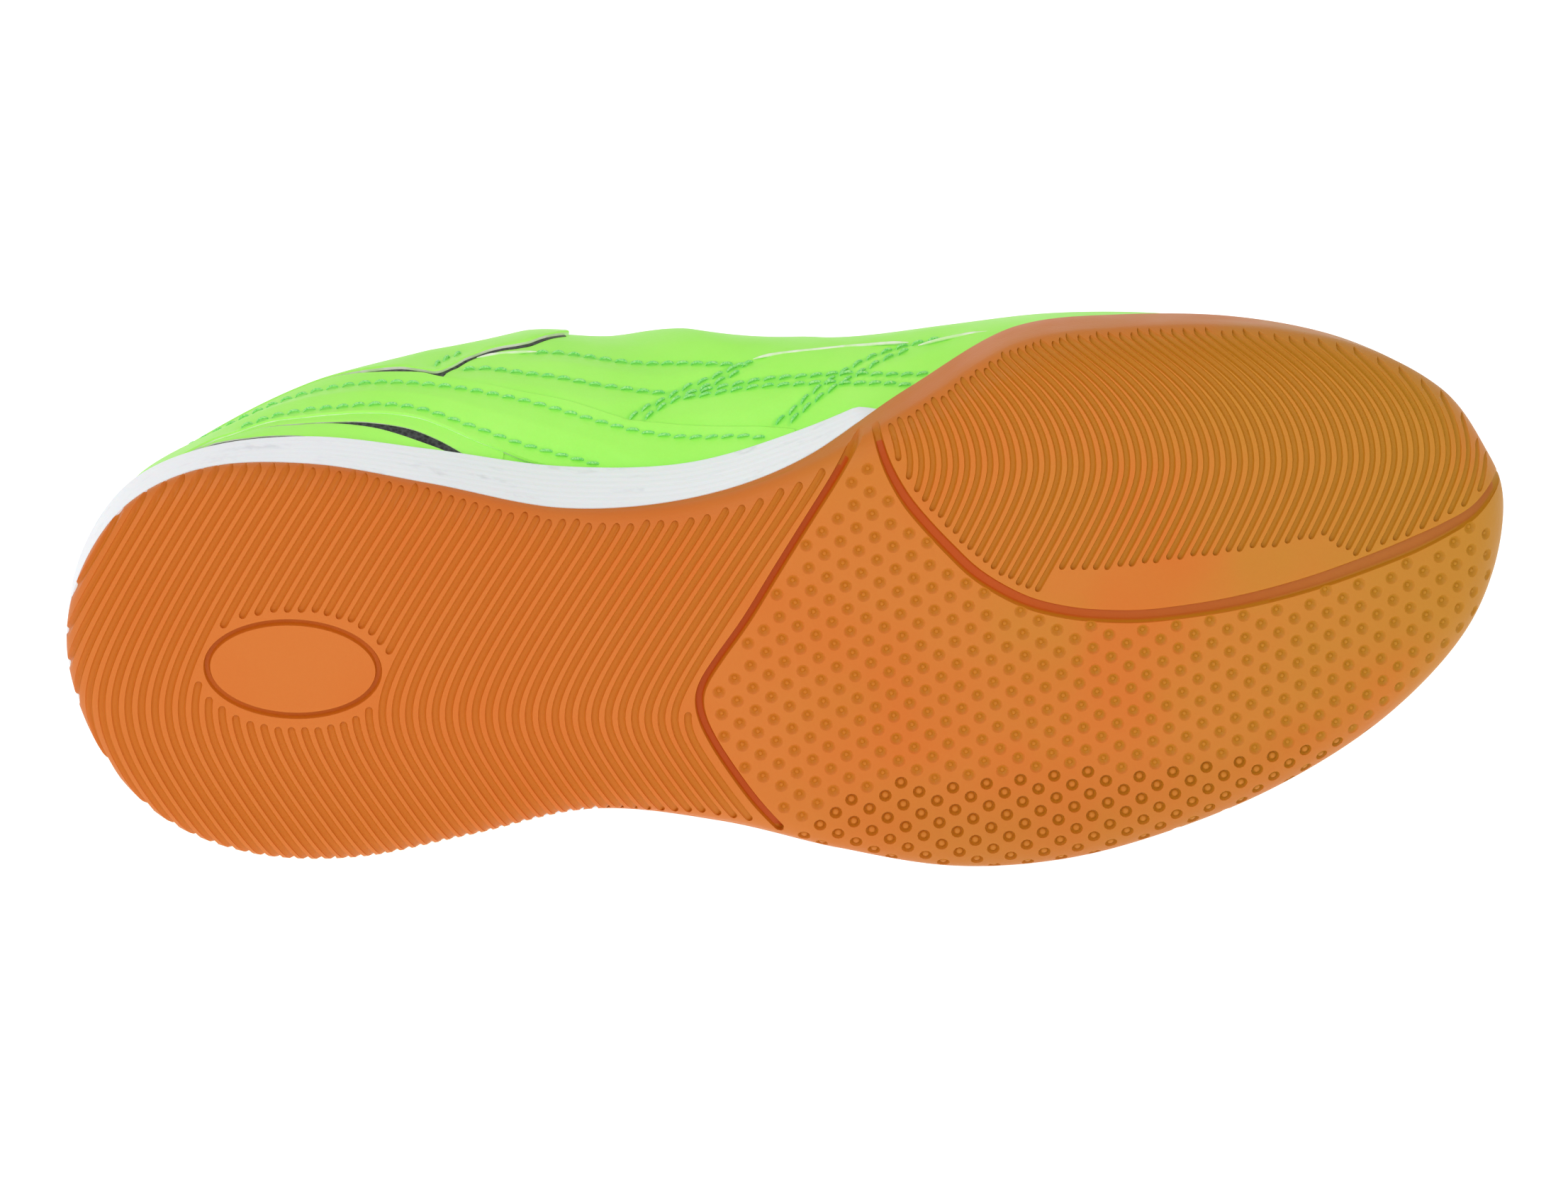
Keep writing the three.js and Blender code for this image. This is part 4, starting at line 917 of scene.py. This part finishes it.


# Piping: a fine pale bead where the quarter's upper layers are cut, partly the white backing and partly a painted
# highlight on the raised edge.
def beads(rows):
    points, faces = [], []
    ring = [(math.cos(a), math.sin(a)) for a in np.linspace(0, 2 * math.pi, 8, endpoint=False)]
    for places in rows:
        for side in (1, -1):
            u, v = along_upper(places, 1.0)
            centre = upper_skin(u * side, v, 0.45)
            up = upper_skin(u * side, v, 1.45) - centre
            across = np.cross(up, np.gradient(centre, axis=0))
            across /= np.linalg.norm(across, axis=1, keepdims=True)
            start = sum(len(block) for block in points)
            size = 0.34 * np.sqrt(np.clip(np.minimum(np.arange(len(u)), np.arange(len(u))[::-1]) / 3, 0.05, 1))[:, None]
            block = np.stack([centre + across * (x * size) + up * (y * size) for x, y in ring], axis=1)
            points.append(block.reshape(-1, 3))
            faces += [[start + corner for corner in face] for face in loops_to_faces(len(u), 8)]
            faces += [[start + k for k in range(8)], [start + len(u) * 8 - 1 - k for k in range(8)]]
    return np.concatenate(points), faces


piping = piece("piping_and_edge_highlight", *beads([
    ((5.32, 0.47), (5.48, 0.475), (5.68, 0.46), (5.94, 0.436)),
    ((8.08, 0.286), (8.36, 0.303), (8.66, 0.309), (8.96, 0.304), (9.24, 0.284), (9.38, 0.25)),
    ((9.36, 0.216), (9.54, 0.212), (9.74, 0.196), (9.94, 0.168)),
]), edge_backing_and_highlight, angle=60)
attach(piping, "root")


# Collar pad: foam under black knitted lining, swelling inside the ankle and closed at the top edge.
def between_grids(name, outer, inner, *materials, angle=50):
    """A solid between two grids of points of the same size."""
    count, columns = outer.shape[:2]
    points = np.concatenate([outer.reshape(-1, 3), inner.reshape(-1, 3)])
    grid = np.arange(count * columns).reshape(count, columns)
    body = np.stack([grid[:-1, :-1], grid[:-1, 1:], grid[1:, 1:], grid[1:, :-1]], axis=-1).reshape(-1, 4)
    rim = np.concatenate([grid[0, :-1], grid[:-1, -1], grid[-1, :0:-1], grid[:0:-1, 0]])
    following = np.roll(rim, -1)
    walls = np.stack([rim, following, following + count * columns, rim + count * columns], axis=-1)
    return piece(name, points, np.concatenate([body, body[:, ::-1] + count * columns, walls]).tolist(), *materials, angle=angle)


def resample(grid, pitch_rows, pitch_columns):
    """A finer grid on smooth curves through a coarse one."""
    for pitch in (pitch_rows, pitch_columns):
        padded = np.concatenate([2 * grid[:1] - grid[1:2], grid, 2 * grid[-1:] - grid[-2:-1]])
        fine = []
        for a, b, c, d in zip(padded, padded[1:], padded[2:], padded[3:]):
            for t in np.linspace(0, 1, pitch, endpoint=False):
                fine.append(b + 0.5 * t * (c - a + t * (2 * a - 5 * b + 4 * c - d + t * (3 * (b - c) + d - a))))
        grid = np.array(fine + [grid[-1]]).transpose(1, 0, 2)
    return grid


pad_inside = upper_wall + 2 * clearance
pad_u, pad_rows = np.linspace(-5.1, 5.1, 160), np.linspace(0, 1, 30)
puff = 1 + 5 * np.sin(np.pi * np.minimum(pad_rows * 1.05, 1)) ** 0.7
ends = np.clip((5.1 - np.abs(pad_u)) / 0.35, 0, 1) ** 0.5
outer_grid = np.stack([upper_skin(pad_u, 0.45 + 0.55 * share, -pad_inside) for share in pad_rows])
inner_grid = np.stack([upper_skin(pad_u, 0.45 + 0.55 * share, -pad_inside - 0.6 - (deep - 0.6) * ends) for share, deep in zip(pad_rows, puff)])
collar_pad = between_grids("collar_lining", outer_grid, inner_grid, black_knit)
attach(collar_pad, "root")
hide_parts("collar_pad")

# Tongue: a padded strip of the same knit that lies under the throat and stands up free at the ankle.
tongue_thick, tongue_tuck, tongue_crown = 4.5, 12.0, 1.6
tongue_end = ((0.302, 1.105, 0.168), (0.275, 1.175, 0.18), (0.258, 1.225, 0.14))


def tongue_grid(thick):
    rows = []
    for u in np.linspace(14.4, 6.4, 13):
        tuck = tongue_tuck * (0.2 + 0.8 * smooth(6.2, 8.4, u))
        hems = [[upper_skin(place, below_edge(place, share * tuck), -(upper_wall + 5 * clearance) - thick * (1 - 0.7 * share**2))
                 for share in (1, 0.5, 0.05)] for place in (u, around - u)]
        middle = (hems[0][2] + hems[1][2]) / 2 + (0, 0, tongue_crown)
        rows.append(hems[0] + [middle] + hems[1][::-1])
    for x, top, half in tongue_end:
        row = []
        for share in (-1, -0.72, -0.38, 0, 0.38, 0.72, 1):
            y, thin = share * half * ball_width, thick * (1 - 0.7 * share**2)
            row.append((x * sole_length - 0.75 * thin, open_mid[6] * ball_width + y, top * collar_height - 0.012 * y * y - 0.6 * thin))
        rows.append(row)
    return resample(np.array(rows), 5, 5)


tongue = between_grids("tongue_pad", tongue_grid(0), tongue_grid(tongue_thick), black_knit)
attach(tongue, "root")
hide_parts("tongue")

# Lace: one flat woven green lace, crossed up the throat from a bar at the vamp, its ends tucked in at the top.
lace_width, lace_thick, lace_lift = 6.0, 1.6, 1.1


def lace_run(u1, u2, over):
    """Points and ups of a run from the eyelet at u1 to the one at u2 on the other side."""
    other = around - u2
    middle_up, rungs = [], []
    for begin, reach in ((u1, (other - u1) * 0.5), (u2, (around - u1 - u2) * 0.5)):
        side = []
        for share in (0, 0.12, 0.25, 0.37, 0.5):
            u = begin + reach * share
            v = below_edge(u, eyelet_inset * (1.15 - 2.3 * share))
            up = upper_skin(u, v, 1) - upper_skin(u, v, 0)
            side.append((upper_skin(u, v, clearance + overlay_thick + lace_lift), up))
        rungs.append(side)
    near, far = rungs
    middle = (near[-1][0] + far[-1][0]) / 2
    up = near[-1][1] + far[-1][1]
    up /= np.linalg.norm(up)
    line = near + [(middle + up * (tongue_crown + over), up)] + far[::-1]
    points = resample(np.array([[p for p, _ in line], [q for _, q in line]]).transpose(1, 0, 2), 5, 1)
    return points[:, 0], points[:, 1]


def lace_points(centres, ups):
    step = np.gradient(centres, axis=0)
    across = np.cross(ups, step)
    across /= np.linalg.norm(across, axis=1, keepdims=True)
    ups = np.cross(step, across)
    ups /= np.linalg.norm(ups, axis=1, keepdims=True)
    section = [(math.copysign(abs(math.cos(a)) ** 0.45, math.cos(a)), math.copysign(abs(math.sin(a)) ** 0.8, math.sin(a)))
               for a in np.linspace(0, 2 * math.pi, 20, endpoint=False)]
    return np.stack([centres + ups * lace_thick / 2 + across * (x * lace_width / 2) + ups * (y * lace_thick / 2) for x, y in section], axis=1)


runs = [(eyelet_u[5], around - eyelet_u[5], 0)]
for i in range(5):
    runs += [(eyelet_u[i], around - eyelet_u[i + 1], 0), (eyelet_u[i + 1], around - eyelet_u[i], 0.8)]
points, faces = [], []
for run in runs:
    stations = lace_points(*lace_run(*run))
    start = sum(len(block) for block in points)
    count = len(stations)
    ring = [[start + corner for corner in face] for face in loops_to_faces(count, 20)]
    ring += [[start + k for k in range(20)], [start + (count - 1) * 20 + k for k in reversed(range(20))]]
    faces += ring
    points.append(stations.reshape(-1, 3))
lace = piece("flat_lace", np.concatenate(points), faces, green_leather, angle=60)
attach(lace, "root")
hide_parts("lace")

# Studio: a white table and soft light all round, as for a catalogue picture.
table = bpy.data.meshes.new("table")
table.from_pydata([(-3, -3, 0), (3, -3, 0), (3, 3, 0), (-3, 3, 0)], [], [(0, 1, 2, 3)])
table_top = bpy.data.objects.new("table_top", table)
bpy.context.collection.objects.link(table_top)
paper = Look("white paper", Emission_Strength=1.0)
paper.feed(paper.shader.inputs["Emission Color"], paper.mix((1, 1, 1, 1), (0.98, 0.98, 0.98, 1), paper.noise(300)))
table.materials.append(paper.finish((0.3, 0.3, 0.3, 1), 0.9))

world = bpy.data.worlds.new("studio")
world.use_nodes = True
world.node_tree.nodes["Background"].inputs["Color"].default_value = (1, 1, 1, 1)
world.node_tree.nodes["Background"].inputs["Strength"].default_value = 0.7
bpy.context.scene.world = world

for name, place, size, power in (("key", (-0.4, -0.7, 1.0), 0.9, 4.5), ("fill", (0.9, -0.9, 0.3), 0.8, 1.5)):
    lamp = bpy.data.objects.new(name, bpy.data.lights.new(name, "AREA"))
    lamp.data.energy, lamp.data.size = power, size
    lamp.location = place
    lamp.rotation_euler = (-Vector(place) + Vector((0, 0, 0.05))).to_track_quat("-Z", "Y").to_euler()
    bpy.context.collection.objects.link(lamp)

camera = bpy.data.objects.new("camera", bpy.data.cameras.new("camera"))
bpy.context.collection.objects.link(camera)
bpy.context.scene.camera = camera
azimuth, elevation, roll, distance = math.radians(-2.342), math.radians(39.981), math.radians(-4.4), 1.3
towards = Vector((math.sin(azimuth) * math.cos(elevation), -math.cos(azimuth) * math.cos(elevation), math.sin(elevation)))
turn = towards.to_track_quat("Z", "Y").to_matrix() @ Matrix.Rotation(roll, 3, "Z")
camera.matrix_world = Matrix.Translation(Vector((0, 0, 0.05)) + towards * distance) @ turn.to_4x4()
camera.data.lens = 153.23
camera.data.shift_x, camera.data.shift_y = 0.0021, -0.0481
bpy.context.scene.view_settings.view_transform = "Standard"
